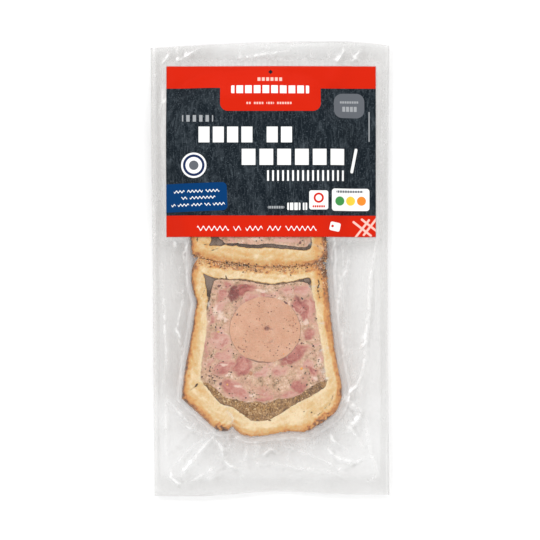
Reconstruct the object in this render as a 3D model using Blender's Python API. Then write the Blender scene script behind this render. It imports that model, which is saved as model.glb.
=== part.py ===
"""Two slices of pate en croute sealed in a clear vacuum pouch, with a label stuck on its upper half.

Units are millimetres in the dimensions below and metres in the meshes. +X runs across the pack, +Y along it
towards the label's end, and +Z up out of the table it lies on. The origin is under the middle of the pack.
"""

import bmesh
import bpy
import numpy as np

MM = 0.001

# The pouch as cut from the roll.
PACK_WIDTH = 131.2
PACK_LENGTH = 250.0
FLANGE_THICKNESS = 0.8

# Each slice: cut face to cut face, and the film's height over it.
SLICE_THICKNESS = 15.0
FILM_OVER_SLICE = 0.4
PLATEAU = SLICE_THICKNESS + FILM_OVER_SLICE
LOWER_SLICE_X = -5.1
UPPER_SLICE_X = -6.4

# The two slices lie base to base along a shallow curve.
SEAM_LOW_Y = 1.0
SEAM_LOW_X = 7.0
SEAM_BEND_LEFT = 0.0024
SEAM_BEND_RIGHT = 0.0055
SEAM_DATUM = 2.5
SEAM_GAP = 0.2
SEAM_GROOVE_DEPTH = 1.5
SEAM_GROOVE_REACH = 3.6

# The crown side of a slice from one base corner round to the other: across, and away from the base.
CROWN = (
    (-33.9, -3.8), (-37.0, 0.8), (-37.9, 6.9), (-37.2, 13.4), (-35.2, 21.1), (-36.6, 30.3), (-40.1, 52.7),
    (-42.5, 70.7), (-41.6, 74.0), (-34.2, 80.6), (-26.6, 87.7), (-22.7, 90.3), (-18.1, 90.5), (-15.4, 88.2),
    (-12.6, 90.9), (-6.4, 94.1), (4.0, 93.2), (16.5, 91.3), (23.7, 91.7), (30.2, 88.8), (39.5, 82.2),
    (43.0, 76.2), (44.3, 67.5), (40.9, 49.4), (37.9, 24.9), (36.9, 14.0), (36.2, 5.8), (34.5, -0.8),
)
POINTS_PER_SPAN = 4
CROWN_CLEAR_OF_SEAM = 1.0
BASE_POINTS = 16

# How the film leaves a slice: it rounds the cut edge, drops down the crust and turns out into the flange.
EDGE_ROUND = 3.0
EDGE_DROP = 1.6
WALL_RUN = 3.6
BRIDGE = 7.0

# Height of the flange's middle plane: at its root beside the slices, and far from them.
FLANGE_ROOT = 6.0
FLANGE_FAR = 3.0
FLANGE_ROOT_UNDER_LABEL = 9.4
FLANGE_FAR_UNDER_LABEL = 3.8
FLANGE_FALL = 14.0
UNDER_LABEL_START_Y = 5.0
UNDER_LABEL_RUN = 30.0

# The flange's slow waves, along its sides and across its ends: height, length of one radian, phase.
SIDE_WAVE = (0.6, 17.0, 0.8)
END_WAVE = (0.8, 15.0, 1.2)

# The cut edge strays from a rectangle: the left side leans in towards the bottom, the right side is a little
# hollow, the top falls away from its highest point, and the bottom rises in the middle.
LEFT_EDGE_LEAN = 2.2
RIGHT_EDGE_HOLLOW = 0.8
TOP_EDGE_FALL = 3.3
TOP_EDGE_HIGH_X = 38.0
TOP_EDGE_FALL_LEFT = 100.0
TOP_EDGE_FALL_RIGHT = 34.0
BOTTOM_EDGE_RISE = 2.4
BOTTOM_EDGE_RISE_X = 3.0
BOTTOM_EDGE_RISE_WIDTH = 25.0
BOTTOM_EDGE_SLOPE = 0.01

# The label, and how the film stretches like a tent between the slice's edge and the label's.
LABEL_WIDTH = 115.0
LABEL_LENGTH = 93.8
LABEL_X = 0.6
LABEL_Y = 64.4
LABEL_THICKNESS = 0.35
LABEL_GAP = 0.3
TENT_START = -2.0
TENT_RUN = 17.0
TENT_MARGIN = 6.0

# Broad folds in the flange: start x, start y, end x, end y, half width, height.
FOLDS = (
    (-43.0, -78.0, -58.0, -116.0, 4.5, 1.3),
    (-27.0, -92.0, -20.0, -116.0, 4.0, 0.9),
    (41.0, -84.0, 55.0, -112.0, 4.5, 1.5),
    (22.0, -95.0, 30.0, -117.0, 4.5, 0.8),
    (-50.0, -112.0, 52.0, -114.0, 4.0, 0.8),
    (52.0, -40.0, 46.0, -72.0, 4.0, 1.0),
    (-52.0, 104.0, -60.0, 119.0, 4.0, 0.7),
    (36.0, 104.0, 44.0, 121.0, 5.0, 1.2),
)
FOLD_FADE = 12.0
FOLD_END_SHARE = 0.5

# Mesh resolution: cells along the pack's short and long sides, and the rings between slices and border.
CELLS_ACROSS = 16
CELLS_ALONG = 38
CELL_GRADING = 0.55
TOP_LEVELS = (0.0, 1.1, 2.2, WALL_RUN)
BOTTOM_LEVELS = (-1.0, 1.2, WALL_RUN)
TOP_FLANGE_SHARES = (0.22, 0.46, 0.68, 0.86, 1.0)
BOTTOM_FLANGE_SHARES = (0.36, 0.70, 1.0)
INNER_RING_INSET = 3.4
RAY_START = 0.3
RAY_HALVINGS = 40
SHARP_ANGLE = np.radians(40.0)
CUT_TOLERANCE = 1e-7

# Surface finishes: colour and roughness.
FILM_COLOUR = (0.80, 0.77, 0.72)
FILM_ROUGHNESS = 0.18
LABEL_COLOUR = (0.045, 0.058, 0.068)
LABEL_ROUGHNESS = 0.45


def smooth_step(share):
    """0 to 1 with level ends."""
    share = np.clip(share, 0.0, 1.0)
    return share * share * (3.0 - 2.0 * share)


def spline(points, per_span):
    """A smooth open curve through the points, which are its only shape."""
    p = np.array(points, float)
    p = np.vstack([2 * p[0] - p[1], p, 2 * p[-1] - p[-2]])
    share = np.linspace(0.0, 1.0, per_span, endpoint=False)[:, None]
    curve = []
    for a, b, c, d in zip(p, p[1:], p[2:], p[3:]):
        curve.append(0.5 * (2 * b + (c - a) * share + (2 * a - 5 * b + 4 * c - d) * share**2
                            + (3 * b - a - 3 * c + d) * share**3))
    return np.vstack(curve + [p[-2:-1]])


def seam_y(x):
    """Where the two slices' bases meet."""
    bend = np.where(x < SEAM_LOW_X, SEAM_BEND_LEFT, SEAM_BEND_RIGHT)
    return SEAM_LOW_Y + bend * (x - SEAM_LOW_X) ** 2


def slice_outline(towards):
    """A slice's outline in the pack, with its crown towards +Y (1) or -Y (-1)."""
    crown = spline(CROWN, POINTS_PER_SPAN) * (-towards, towards)
    crown[:, 0] += UPPER_SLICE_X if towards > 0 else LOWER_SLICE_X
    crown[:, 1] += SEAM_DATUM
    clear = crown[(crown[:, 1] - seam_y(crown[:, 0])) * towards > CROWN_CLEAR_OF_SEAM]
    base_x = np.linspace(clear[-1, 0], clear[0, 0], BASE_POINTS)
    base = np.stack([base_x, seam_y(base_x) + SEAM_GAP * towards], axis=1)
    return np.vstack([clear, base[1:-1]])


OUTLINES = (slice_outline(-1), slice_outline(1))
FOOD_MIDDLE = np.array([(LOWER_SLICE_X + UPPER_SLICE_X) / 2, SEAM_DATUM])


def distance_to_outline(x, y, outline):
    """Distance to a closed outline in mm, negative inside it."""
    start, end = outline, np.roll(outline, -1, axis=0)
    point = np.stack([x, y], axis=-1)[..., None, :]
    along = end - start
    share = ((point - start) * along).sum(-1) / (along**2).sum(-1)
    nearest = start + np.clip(share, 0.0, 1.0)[..., None] * along
    distance = np.sqrt(((point - nearest) ** 2).sum(-1)).min(-1)
    py = point[..., 1]
    spans = (start[:, 1] > py) != (end[:, 1] > py)
    rise = np.where(along[:, 1] == 0.0, 1.0, along[:, 1])
    crossing = start[:, 0] + (py - start[:, 1]) / rise * along[:, 0]
    inside = (spans & (point[..., 0] < crossing)).sum(-1) % 2 == 1
    return np.where(inside, -distance, distance)


def film_distance(x, y):
    """Distance outside the pair of slices as the film sees them: it bridges the notch between them."""
    lower, upper = (distance_to_outline(x, y, outline) for outline in OUTLINES)
    mix = np.clip(0.5 + 0.5 * (upper - lower) / BRIDGE, 0.0, 1.0)
    return upper + (lower - upper) * mix - BRIDGE * mix * (1.0 - mix)


def label_cover(x, y):
    """1 under the label, falling to 0 a little way outside it."""
    outside_x = np.maximum(np.abs(x - LABEL_X) - LABEL_WIDTH / 2, 0.0)
    outside_y = np.maximum(np.abs(y - LABEL_Y) - LABEL_LENGTH / 2, 0.0)
    return 1.0 - smooth_step(np.hypot(outside_x, outside_y) / TENT_MARGIN)


def fold_height(x, y):
    """The raised folds of the flange, each a soft ridge that fades at its ends."""
    total = np.zeros_like(x)
    for x0, y0, x1, y1, half_width, height in FOLDS:
        along = np.array([x1 - x0, y1 - y0])
        share = ((x - x0) * along[0] + (y - y0) * along[1]) / (along @ along)
        near = np.clip(share, 0.0, 1.0)
        off = np.hypot(x - x0 - near * along[0], y - y0 - near * along[1])
        total += height * np.exp(-((off / half_width) ** 2)) * (1.0 - FOLD_END_SHARE * near)
    return total


def flange_middle(x, y, distance):
    """Height of the sealed film's middle plane, drooping away from the slices with a slow wave."""
    under_label = smooth_step((y - UNDER_LABEL_START_Y) / UNDER_LABEL_RUN)
    root = FLANGE_ROOT + (FLANGE_ROOT_UNDER_LABEL - FLANGE_ROOT) * under_label
    far = FLANGE_FAR + (FLANGE_FAR_UNDER_LABEL - FLANGE_FAR) * under_label
    height = far + (root - far) * np.exp(-np.maximum(distance, 0.0) / FLANGE_FALL)
    across, along = x / (PACK_WIDTH / 2), y / (PACK_LENGTH / 2)
    side_high, side_length, side_phase = SIDE_WAVE
    end_high, end_length, end_phase = END_WAVE
    wave = side_high * np.sin(y / side_length + side_phase) * across
    wave = wave + end_high * np.sin(x / end_length + end_phase) * along**3
    border = np.minimum(PACK_WIDTH / 2 - np.abs(x), PACK_LENGTH / 2 - np.abs(y))
    return height + wave + fold_height(x, y) * smooth_step(border / FOLD_FADE)


def film_top(x, y):
    """Height of the pouch's upper surface."""
    distance = film_distance(x, y)
    flange = flange_middle(x, y, distance) + FLANGE_THICKNESS / 2
    rounded = PLATEAU - EDGE_DROP * np.clip((distance + EDGE_ROUND) / EDGE_ROUND, 0.0, 1.0) ** 2
    s = np.clip(distance / WALL_RUN, 0.0, 1.0)
    lean = -2.0 * EDGE_DROP / EDGE_ROUND * WALL_RUN
    edge = PLATEAU - EDGE_DROP
    wall = (edge * (2 * s**3 - 3 * s**2 + 1) + lean * (s**3 - 2 * s**2 + s)
            + flange * (3 * s**2 - 2 * s**3))
    rounded = rounded - SEAM_GROOVE_DEPTH * np.exp(-(((y - seam_y(x)) / SEAM_GROOVE_REACH) ** 2))
    clinging = np.where(distance < 0.0, rounded, wall)
    tent = flange + (PLATEAU - flange) * (1.0 - smooth_step((distance - TENT_START) / TENT_RUN))
    return clinging + (tent - clinging) * label_cover(x, y)


def film_bottom(x, y):
    """Height of the pouch's lower surface, flat under the slices where the pack rests."""
    distance = film_distance(x, y)
    flange = flange_middle(x, y, distance) - FLANGE_THICKNESS / 2
    return flange * smooth_step((distance - BOTTOM_LEVELS[0]) / (WALL_RUN - BOTTOM_LEVELS[0]))


def border_point(x, y):
    """Moves a point of the nominal rectangle's border to the pouch's slightly uneven cut edge."""
    half_width, half_length = PACK_WIDTH / 2, PACK_LENGTH / 2
    left = -half_width + LEFT_EDGE_LEAN * (half_length - y) / PACK_LENGTH
    right = half_width - RIGHT_EDGE_HOLLOW * (1.0 - (y / half_length) ** 2)
    across = (x + half_width) / PACK_WIDTH
    new_x = left + (right - left) * across
    off_high = new_x - TOP_EDGE_HIGH_X
    reach = TOP_EDGE_FALL_LEFT if off_high < 0 else TOP_EDGE_FALL_RIGHT
    top = half_length - TOP_EDGE_FALL * (off_high / reach) ** 2
    off_rise = (new_x - BOTTOM_EDGE_RISE_X) / BOTTOM_EDGE_RISE_WIDTH
    slope = BOTTOM_EDGE_SLOPE * abs(new_x + TOP_EDGE_HIGH_X)
    bottom = -half_length + BOTTOM_EDGE_RISE * np.exp(-(off_rise**2)) + slope
    along = (y + half_length) / PACK_LENGTH
    return new_x, bottom + (top - bottom) * along


def border_loop():
    """Points round the cut edge, anticlockwise from the lower left corner and closest beside the seam."""
    xs = np.linspace(-PACK_WIDTH / 2, PACK_WIDTH / 2, CELLS_ACROSS + 1)
    share = np.linspace(-1.0, 1.0, CELLS_ALONG + 1)
    ys = PACK_LENGTH / 2 * (CELL_GRADING * share + (1.0 - CELL_GRADING) * share**3)
    loop = [(x, ys[0]) for x in xs[:-1]] + [(xs[-1], y) for y in ys[:-1]]
    loop += [(x, ys[-1]) for x in xs[:0:-1]] + [(xs[0], y) for y in ys[:0:-1]]
    return np.array([border_point(x, y) for x, y in loop])


def level_loop(border, level):
    """Where the rays from the pack's middle to the border cross a given film distance."""
    inner, outer = np.full(len(border), RAY_START), np.ones(len(border))
    for _ in range(RAY_HALVINGS):
        share = (inner + outer) / 2
        at = FOOD_MIDDLE + share[:, None] * (border - FOOD_MIDDLE)
        beyond = film_distance(at[:, 0], at[:, 1]) > level
        outer, inner = np.where(beyond, share, outer), np.where(beyond, inner, share)
    return FOOD_MIDDLE + outer[:, None] * (border - FOOD_MIDDLE)


def rings(border, levels, flange_shares):
    """Loops of points from the slices' edge out to the border."""
    loops = [level_loop(border, level) for level in levels]
    foot = loops[-1]
    return loops + [foot + share * (border - foot) for share in flange_shares]


def patch_points(loop):
    """Points of a grid that fills the loop, by blending its four sides."""
    nx, ny = CELLS_ACROSS, CELLS_ALONG
    bottom = loop[: nx + 1]
    right = loop[nx : nx + ny + 1]
    top = loop[nx + ny : 2 * nx + ny + 1][::-1]
    left = np.vstack([loop[2 * nx + ny :], loop[:1]])[::-1]
    u = np.linspace(0.0, 1.0, nx + 1)[:, None, None]
    v = np.linspace(0.0, 1.0, ny + 1)[None, :, None]
    sides = (1 - v) * bottom[:, None] + v * top[:, None] + (1 - u) * left[None] + u * right[None]
    corners = ((1 - u) * (1 - v) * bottom[0] + u * (1 - v) * bottom[-1]
               + (1 - u) * v * top[0] + u * v * top[-1])
    return sides - corners


def loop_index(i, j):
    """The place in the border loop of a grid point on the patch's edge, or None inside it."""
    nx, ny = CELLS_ACROSS, CELLS_ALONG
    if j == 0:
        return i
    if i == nx:
        return nx + j
    if j == ny:
        return nx + ny + (nx - i)
    if i == 0:
        return 2 * nx + ny + (ny - j)
    return None


def add_loops(bm, loops, height):
    """Adds rings of vertices at the given height function and joins neighbouring rings with faces."""
    made = []
    for loop in loops:
        heights = height(loop[:, 0], loop[:, 1])
        made.append([bm.verts.new((x * MM, y * MM, z * MM)) for (x, y), z in zip(loop, heights)])
    for inner, outer in zip(made, made[1:]):
        for n in range(len(inner)):
            m = (n + 1) % len(inner)
            bm.faces.new((inner[n], outer[n], outer[m], inner[m]))
    return made


def add_patch(bm, ring, ring_points):
    """Fills the innermost ring with a grid of faces that follows the film's height."""
    points = patch_points(ring_points)
    heights = film_top(points[..., 0], points[..., 1])
    verts = {}
    for i in range(CELLS_ACROSS + 1):
        for j in range(CELLS_ALONG + 1):
            n = loop_index(i, j)
            if n is None:
                x, y = points[i, j]
                verts[i, j] = bm.verts.new((x * MM, y * MM, heights[i, j] * MM))
            else:
                verts[i, j] = ring[n]
    for i in range(CELLS_ACROSS):
        for j in range(CELLS_ALONG):
            bm.faces.new((verts[i, j], verts[i + 1, j], verts[i + 1, j + 1], verts[i, j + 1]))


def top_sheet(border):
    """The pouch's upper surface as an open mesh, and its outermost ring."""
    bm = bmesh.new()
    loops = rings(border, TOP_LEVELS, TOP_FLANGE_SHARES)
    inward = FOOD_MIDDLE - loops[0]
    inner = loops[0] + inward / np.linalg.norm(inward, axis=1)[:, None] * INNER_RING_INSET
    made = add_loops(bm, [inner] + loops, film_top)
    add_patch(bm, made[0], inner)
    bmesh.ops.triangulate(bm, faces=bm.faces[:])
    return bm, made[-1]


def material(name, colour, roughness):
    """A plain surface finish."""
    made = bpy.data.materials.new(name)
    made.use_nodes = True
    shader = made.node_tree.nodes["Principled BSDF"]
    shader.inputs["Base Color"].default_value = (*colour, 1.0)
    shader.inputs["Roughness"].default_value = roughness
    shader.inputs["Metallic"].default_value = 0.0
    return made


def finish(bm, name, finish_material, parent, location=(0.0, 0.0, 0.0)):
    """Makes the mesh an object whose origin is at the location, smooth but for its real edges."""
    bmesh.ops.recalc_face_normals(bm, faces=bm.faces[:])
    bmesh.ops.translate(bm, verts=bm.verts[:], vec=[-c for c in location])
    mesh = bpy.data.meshes.new(name)
    bm.to_mesh(mesh)
    bm.free()
    mesh.shade_smooth()
    mesh.set_sharp_from_angle(angle=SHARP_ANGLE)
    mesh.materials.append(finish_material)
    made = bpy.data.objects.new(name, mesh)
    bpy.context.scene.collection.objects.link(made)
    made.parent = parent
    made.location = location
    return made


def build_pouch(border, parent):
    """The sealed pouch with its two slices inside, as one solid out to the film."""
    bm, top_rim = top_sheet(border)
    loops = rings(border, BOTTOM_LEVELS, BOTTOM_FLANGE_SHARES)
    made = add_loops(bm, loops, film_bottom)
    for n in range(len(top_rim)):
        m = (n + 1) % len(top_rim)
        bm.faces.new((top_rim[n], made[-1][n], made[-1][m], top_rim[m]))
    bm.faces.new(made[0])
    bmesh.ops.triangulate(bm, faces=[face for face in bm.faces if len(face.verts) > 4])
    return finish(bm, "pouch", material("clear_film", FILM_COLOUR, FILM_ROUGHNESS), parent)


def build_label(border, parent):
    """The label, a thin sheet that lies on the film all over."""
    bm, _ = top_sheet(border)
    sides = (
        ((LABEL_X + LABEL_WIDTH / 2, 0.0), (1, 0)), ((LABEL_X - LABEL_WIDTH / 2, 0.0), (-1, 0)),
        ((0.0, LABEL_Y + LABEL_LENGTH / 2), (0, 1)), ((0.0, LABEL_Y - LABEL_LENGTH / 2), (0, -1)),
    )
    for (x, y), (nx, ny) in sides:
        bmesh.ops.bisect_plane(bm, geom=bm.verts[:] + bm.edges[:] + bm.faces[:], dist=CUT_TOLERANCE,
                               plane_co=(x * MM, y * MM, 0.0), plane_no=(nx, ny, 0.0), clear_outer=True)
    bmesh.ops.translate(bm, verts=bm.verts[:], vec=(0.0, 0.0, LABEL_GAP * MM))
    raised = bmesh.ops.extrude_face_region(bm, geom=bm.faces[:], use_keep_orig=True)["geom"]
    bmesh.ops.translate(bm, verts=[part for part in raised if isinstance(part, bmesh.types.BMVert)],
                        vec=(0.0, 0.0, LABEL_THICKNESS * MM))
    centre = (LABEL_X * MM, LABEL_Y * MM, (PLATEAU + LABEL_GAP) * MM)
    return finish(bm, "label", material("printed_label", LABEL_COLOUR, LABEL_ROUGHNESS), parent, centre)


def main():
    """Clears the scene and builds the pack."""
    for old in list(bpy.data.objects):
        bpy.data.objects.remove(old)
    pack = bpy.data.objects.new("pack", None)
    bpy.context.scene.collection.objects.link(pack)
    border = border_loop()
    build_pouch(border, pack)
    build_label(border, pack)


main()
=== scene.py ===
"""Looks of a clear vacuum pack that holds two slices of pate en croute and carries a printed label.

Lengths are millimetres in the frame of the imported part: +X across the pack, +Y along it towards the label's
end, +Z up. Meshes are written in metres. A slice has millimetres of its own: across its middle, and up from
its base. A place along the two is kept as x and y, or as across and up.
"""

import logging
import math
from dataclasses import dataclass, field
from enum import Enum
from functools import cached_property
from typing import Callable, Sequence

import bmesh
import bpy
import numpy as np
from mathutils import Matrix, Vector


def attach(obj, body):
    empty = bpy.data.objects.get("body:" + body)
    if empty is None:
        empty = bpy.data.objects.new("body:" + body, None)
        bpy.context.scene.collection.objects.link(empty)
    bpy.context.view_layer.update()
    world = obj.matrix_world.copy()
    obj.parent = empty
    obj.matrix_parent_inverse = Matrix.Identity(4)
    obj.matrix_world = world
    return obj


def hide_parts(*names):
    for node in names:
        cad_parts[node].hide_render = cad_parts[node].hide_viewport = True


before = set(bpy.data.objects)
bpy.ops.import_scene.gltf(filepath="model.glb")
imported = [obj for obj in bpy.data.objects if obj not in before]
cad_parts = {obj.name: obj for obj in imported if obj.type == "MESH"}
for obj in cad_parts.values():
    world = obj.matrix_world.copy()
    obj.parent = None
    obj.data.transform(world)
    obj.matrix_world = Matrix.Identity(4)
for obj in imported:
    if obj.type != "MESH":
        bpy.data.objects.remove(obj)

Array = np.ndarray

MM = 0.001
TURN = 2 * math.pi
SOFT_DEPTH = 0.002
BODY = "root"
log = logging.getLogger("pack")


def smooth(value: Array, start: float = 0.0, run: float = 1.0) -> Array:
    """0 to 1 with level ends, as the value goes from start over the run."""
    share = np.clip((value - start) / run, 0.0, 1.0)
    return share * share * (3.0 - 2.0 * share)


def fade(value: Array, start: float = 0.0, run: float = 1.0) -> Array:
    """1 to 0 with level ends, as the value goes from start over the run."""
    return 1.0 - smooth(value, start, run)


def bell(off: Array, reach: float) -> Array:
    """1 in the middle, falling softly to 0 on both sides."""
    return np.exp(-((off / reach) ** 2))


def rows_of(*columns: Array) -> Array:
    """Points, one row each, from grids or lists of their coordinates."""
    return np.stack([np.ravel(values) for values in columns], axis=1)


def spline(points: Sequence[tuple[float, float]], per_span: int, closed: bool = False) -> Array:
    """A smooth curve through points.

    Args:
        points: the curve's own points.
        per_span: how many points each span between them gets.
        closed: True for a loop.
    Returns:
        The curve's points, one row each.
    """
    p = np.array(points, float)
    ends = (p[-1:], p[:2]) if closed else (2 * p[:1] - p[1:2], 2 * p[-1:] - p[-2:-1])
    p = np.vstack([ends[0], p, ends[1]])
    share = np.linspace(0.0, 1.0, per_span, endpoint=False)[:, None]
    curve = [0.5 * (2 * b + (c - a) * share + (2 * a - 5 * b + 4 * c - d) * share**2
                    + (3 * b - a - 3 * c + d) * share**3) for a, b, c, d in zip(p, p[1:], p[2:], p[3:])]
    return np.vstack(curve if closed else curve + [p[-2:-1]])


def near_path(x: Array, y: Array, path: Sequence[tuple[float, float]]) -> tuple[Array, Array]:
    """Distance of points to a path of straight runs.

    Args:
        x, y: the points.
        path: the path's own points in order.
    Returns:
        The distances, and how far along the path its nearest place is, from 0 to 1.
    """
    points = np.array(path, float)
    run = np.concatenate([[0.0], np.cumsum(np.hypot(*np.diff(points, axis=0).T))])
    best, along = np.full(np.shape(x), 1e9), np.zeros(np.shape(x))
    for (ax, ay), (bx, by), start, end in zip(points, points[1:], run, run[1:]):
        dx, dy = bx - ax, by - ay
        share = np.clip(((x - ax) * dx + (y - ay) * dy) / (dx * dx + dy * dy), 0.0, 1.0)
        off = np.hypot(x - ax - share * dx, y - ay - share * dy)
        nearer = off < best
        best = np.where(nearer, off, best)
        along = np.where(nearer, (start + share * (end - start)) / run[-1], along)
    return best, along


def distance_to_outline(x: Array, y: Array, outline: Array) -> Array:
    """Distance of points to a closed outline, negative inside it.

    Args:
        x, y: the points, as equal grids.
        outline: the outline's points in order.
    Returns:
        The distances, in the grids' shape.
    """
    closed = np.vstack([outline, outline[:1]])
    inside = np.zeros(x.shape, bool)
    for (ax, ay), (bx, by) in zip(closed, closed[1:]):
        if ay != by:
            inside ^= ((ay > y) != (by > y)) & (x < ax + (y - ay) / (by - ay) * (bx - ax))
    return np.where(inside, -1.0, 1.0) * near_path(x, y, closed)[0]


def between(table: Array, lows: Sequence[Array], highs: Sequence[Array], shares: Sequence[Array]) -> Array:
    """Values between a table's own.

    Args:
        table: a grid of values.
        lows, highs: the rows and the columns on either side of each point.
        shares: how far each point is from its low row and column to the high ones.
    Returns:
        The values at the points.
    """
    (ix, iy), (jx, jy), (u, v) = lows, highs, shares
    low = table[ix, iy] * (1 - u) + table[jx, iy] * u
    high = table[ix, jy] * (1 - u) + table[jx, jy] * u
    return low * (1 - v) + high * v


@dataclass(frozen=True)
class Noise:
    """Smooth random heights over the plane, the same on every run."""

    seed: int
    side: int = 256
    start: tuple[float, float] = (91.3, 57.7)

    @cached_property
    def table(self) -> Array:
        """Random values from 0 to 1 at the lattice points."""
        return np.random.default_rng(self.seed).random((self.side, self.side, 3))[..., 0]

    def soft(self, x: Array, y: Array, size: float) -> Array:
        """Smooth noise.

        Args:
            x, y: the points.
            size: how far its bumps reach.
        Returns:
            Values from 0 to 1.
        """
        at = [np.asarray(values, float) / size + start for values, start in zip((x, y), self.start)]
        low = [np.floor(values).astype(int) for values in at]
        shares = [smooth(values - whole) for values, whole in zip(at, low)]
        return between(self.table, [whole % self.side for whole in low],
                       [(whole + 1) % self.side for whole in low], shares)

    def rough(self, x: Array, y: Array, size: float, octaves: int = 4) -> Array:
        """Noise with finer and finer detail on it, each octave turned, shifted and half as strong.

        Args:
            x, y: the points.
            size: how far its largest bumps reach.
            octaves: how many sizes of bump it has.
        Returns:
            Values from 0 to 1.
        """
        total, weight, share = 0.0, 0.0, 1.0
        for octave in range(octaves):
            turn = 0.7 * octave
            rx = x * math.cos(turn) - y * math.sin(turn)
            ry = x * math.sin(turn) + y * math.cos(turn)
            total = total + share * self.soft(rx + 13.1 * octave, ry - 7.9 * octave, size / 2**octave)
            weight += share
            share *= 0.5
        return total / weight

    def ridges(self, x: Array, y: Array, size: float, octaves: int = 3) -> Array:
        """Noise with sharp crests, 1 along the crests and 0 or less in the flats."""
        return 1.0 - np.abs(2.0 * self.rough(x, y, size, octaves) - 1.0) * 2.2


@dataclass(frozen=True)
class Trace:
    """A narrow mark or fold along a path: its half width, its strength or height, and its points."""

    half_width: float
    amount: float
    path: tuple

    @classmethod
    def rows(cls, *rows: tuple) -> tuple["Trace", ...]:
        """Traces from rows of half width, amount and points."""
        return tuple(cls(half_width, amount, tuple(path)) for half_width, amount, *path in rows)

    def share(self, x: Array, y: Array) -> Array:
        """The amount on the path, falling to 0 beside it."""
        return self.amount * bell(near_path(x, y, self.path)[0], self.half_width)

    def fold(self, x: Array, y: Array) -> Array:
        """Height of a soft fold that sinks to half its height along the path."""
        off, along = near_path(x, y, self.path)
        return self.amount * bell(off, self.half_width) * (1.0 - 0.5 * along)

    def ridge(self, x: Array, y: Array) -> Array:
        """Height of a crease in the film.

        Args:
            x, y: points of the pack.
        Returns:
            The heights, tapering towards the crease's ends.
        """
        off, along = near_path(x, y, spline(self.path, 4) if len(self.path) > 2 else self.path)
        taper = np.sin(np.pi * np.clip(along, 0.03, 0.97)) ** 0.6
        spread = 1.6 * self.half_width * (0.4 + 0.6 * taper)
        return 1.4 * self.amount * taper * np.exp(-((off / spread) ** 1.5))


@dataclass(frozen=True)
class Spot:
    """An oval patch, strongest in its middle."""

    x: float
    y: float
    half_width: float
    half_height: float
    amount: float = 1.0

    def away(self, x: Array, y: Array) -> Array:
        """0 in the middle, 1 on the oval."""
        return ((x - self.x) / self.half_width) ** 2 + ((y - self.y) / self.half_height) ** 2

    def share(self, x: Array, y: Array) -> Array:
        """The amount in the middle, falling softly to 0."""
        return self.amount * np.exp(-self.away(x, y))


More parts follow.
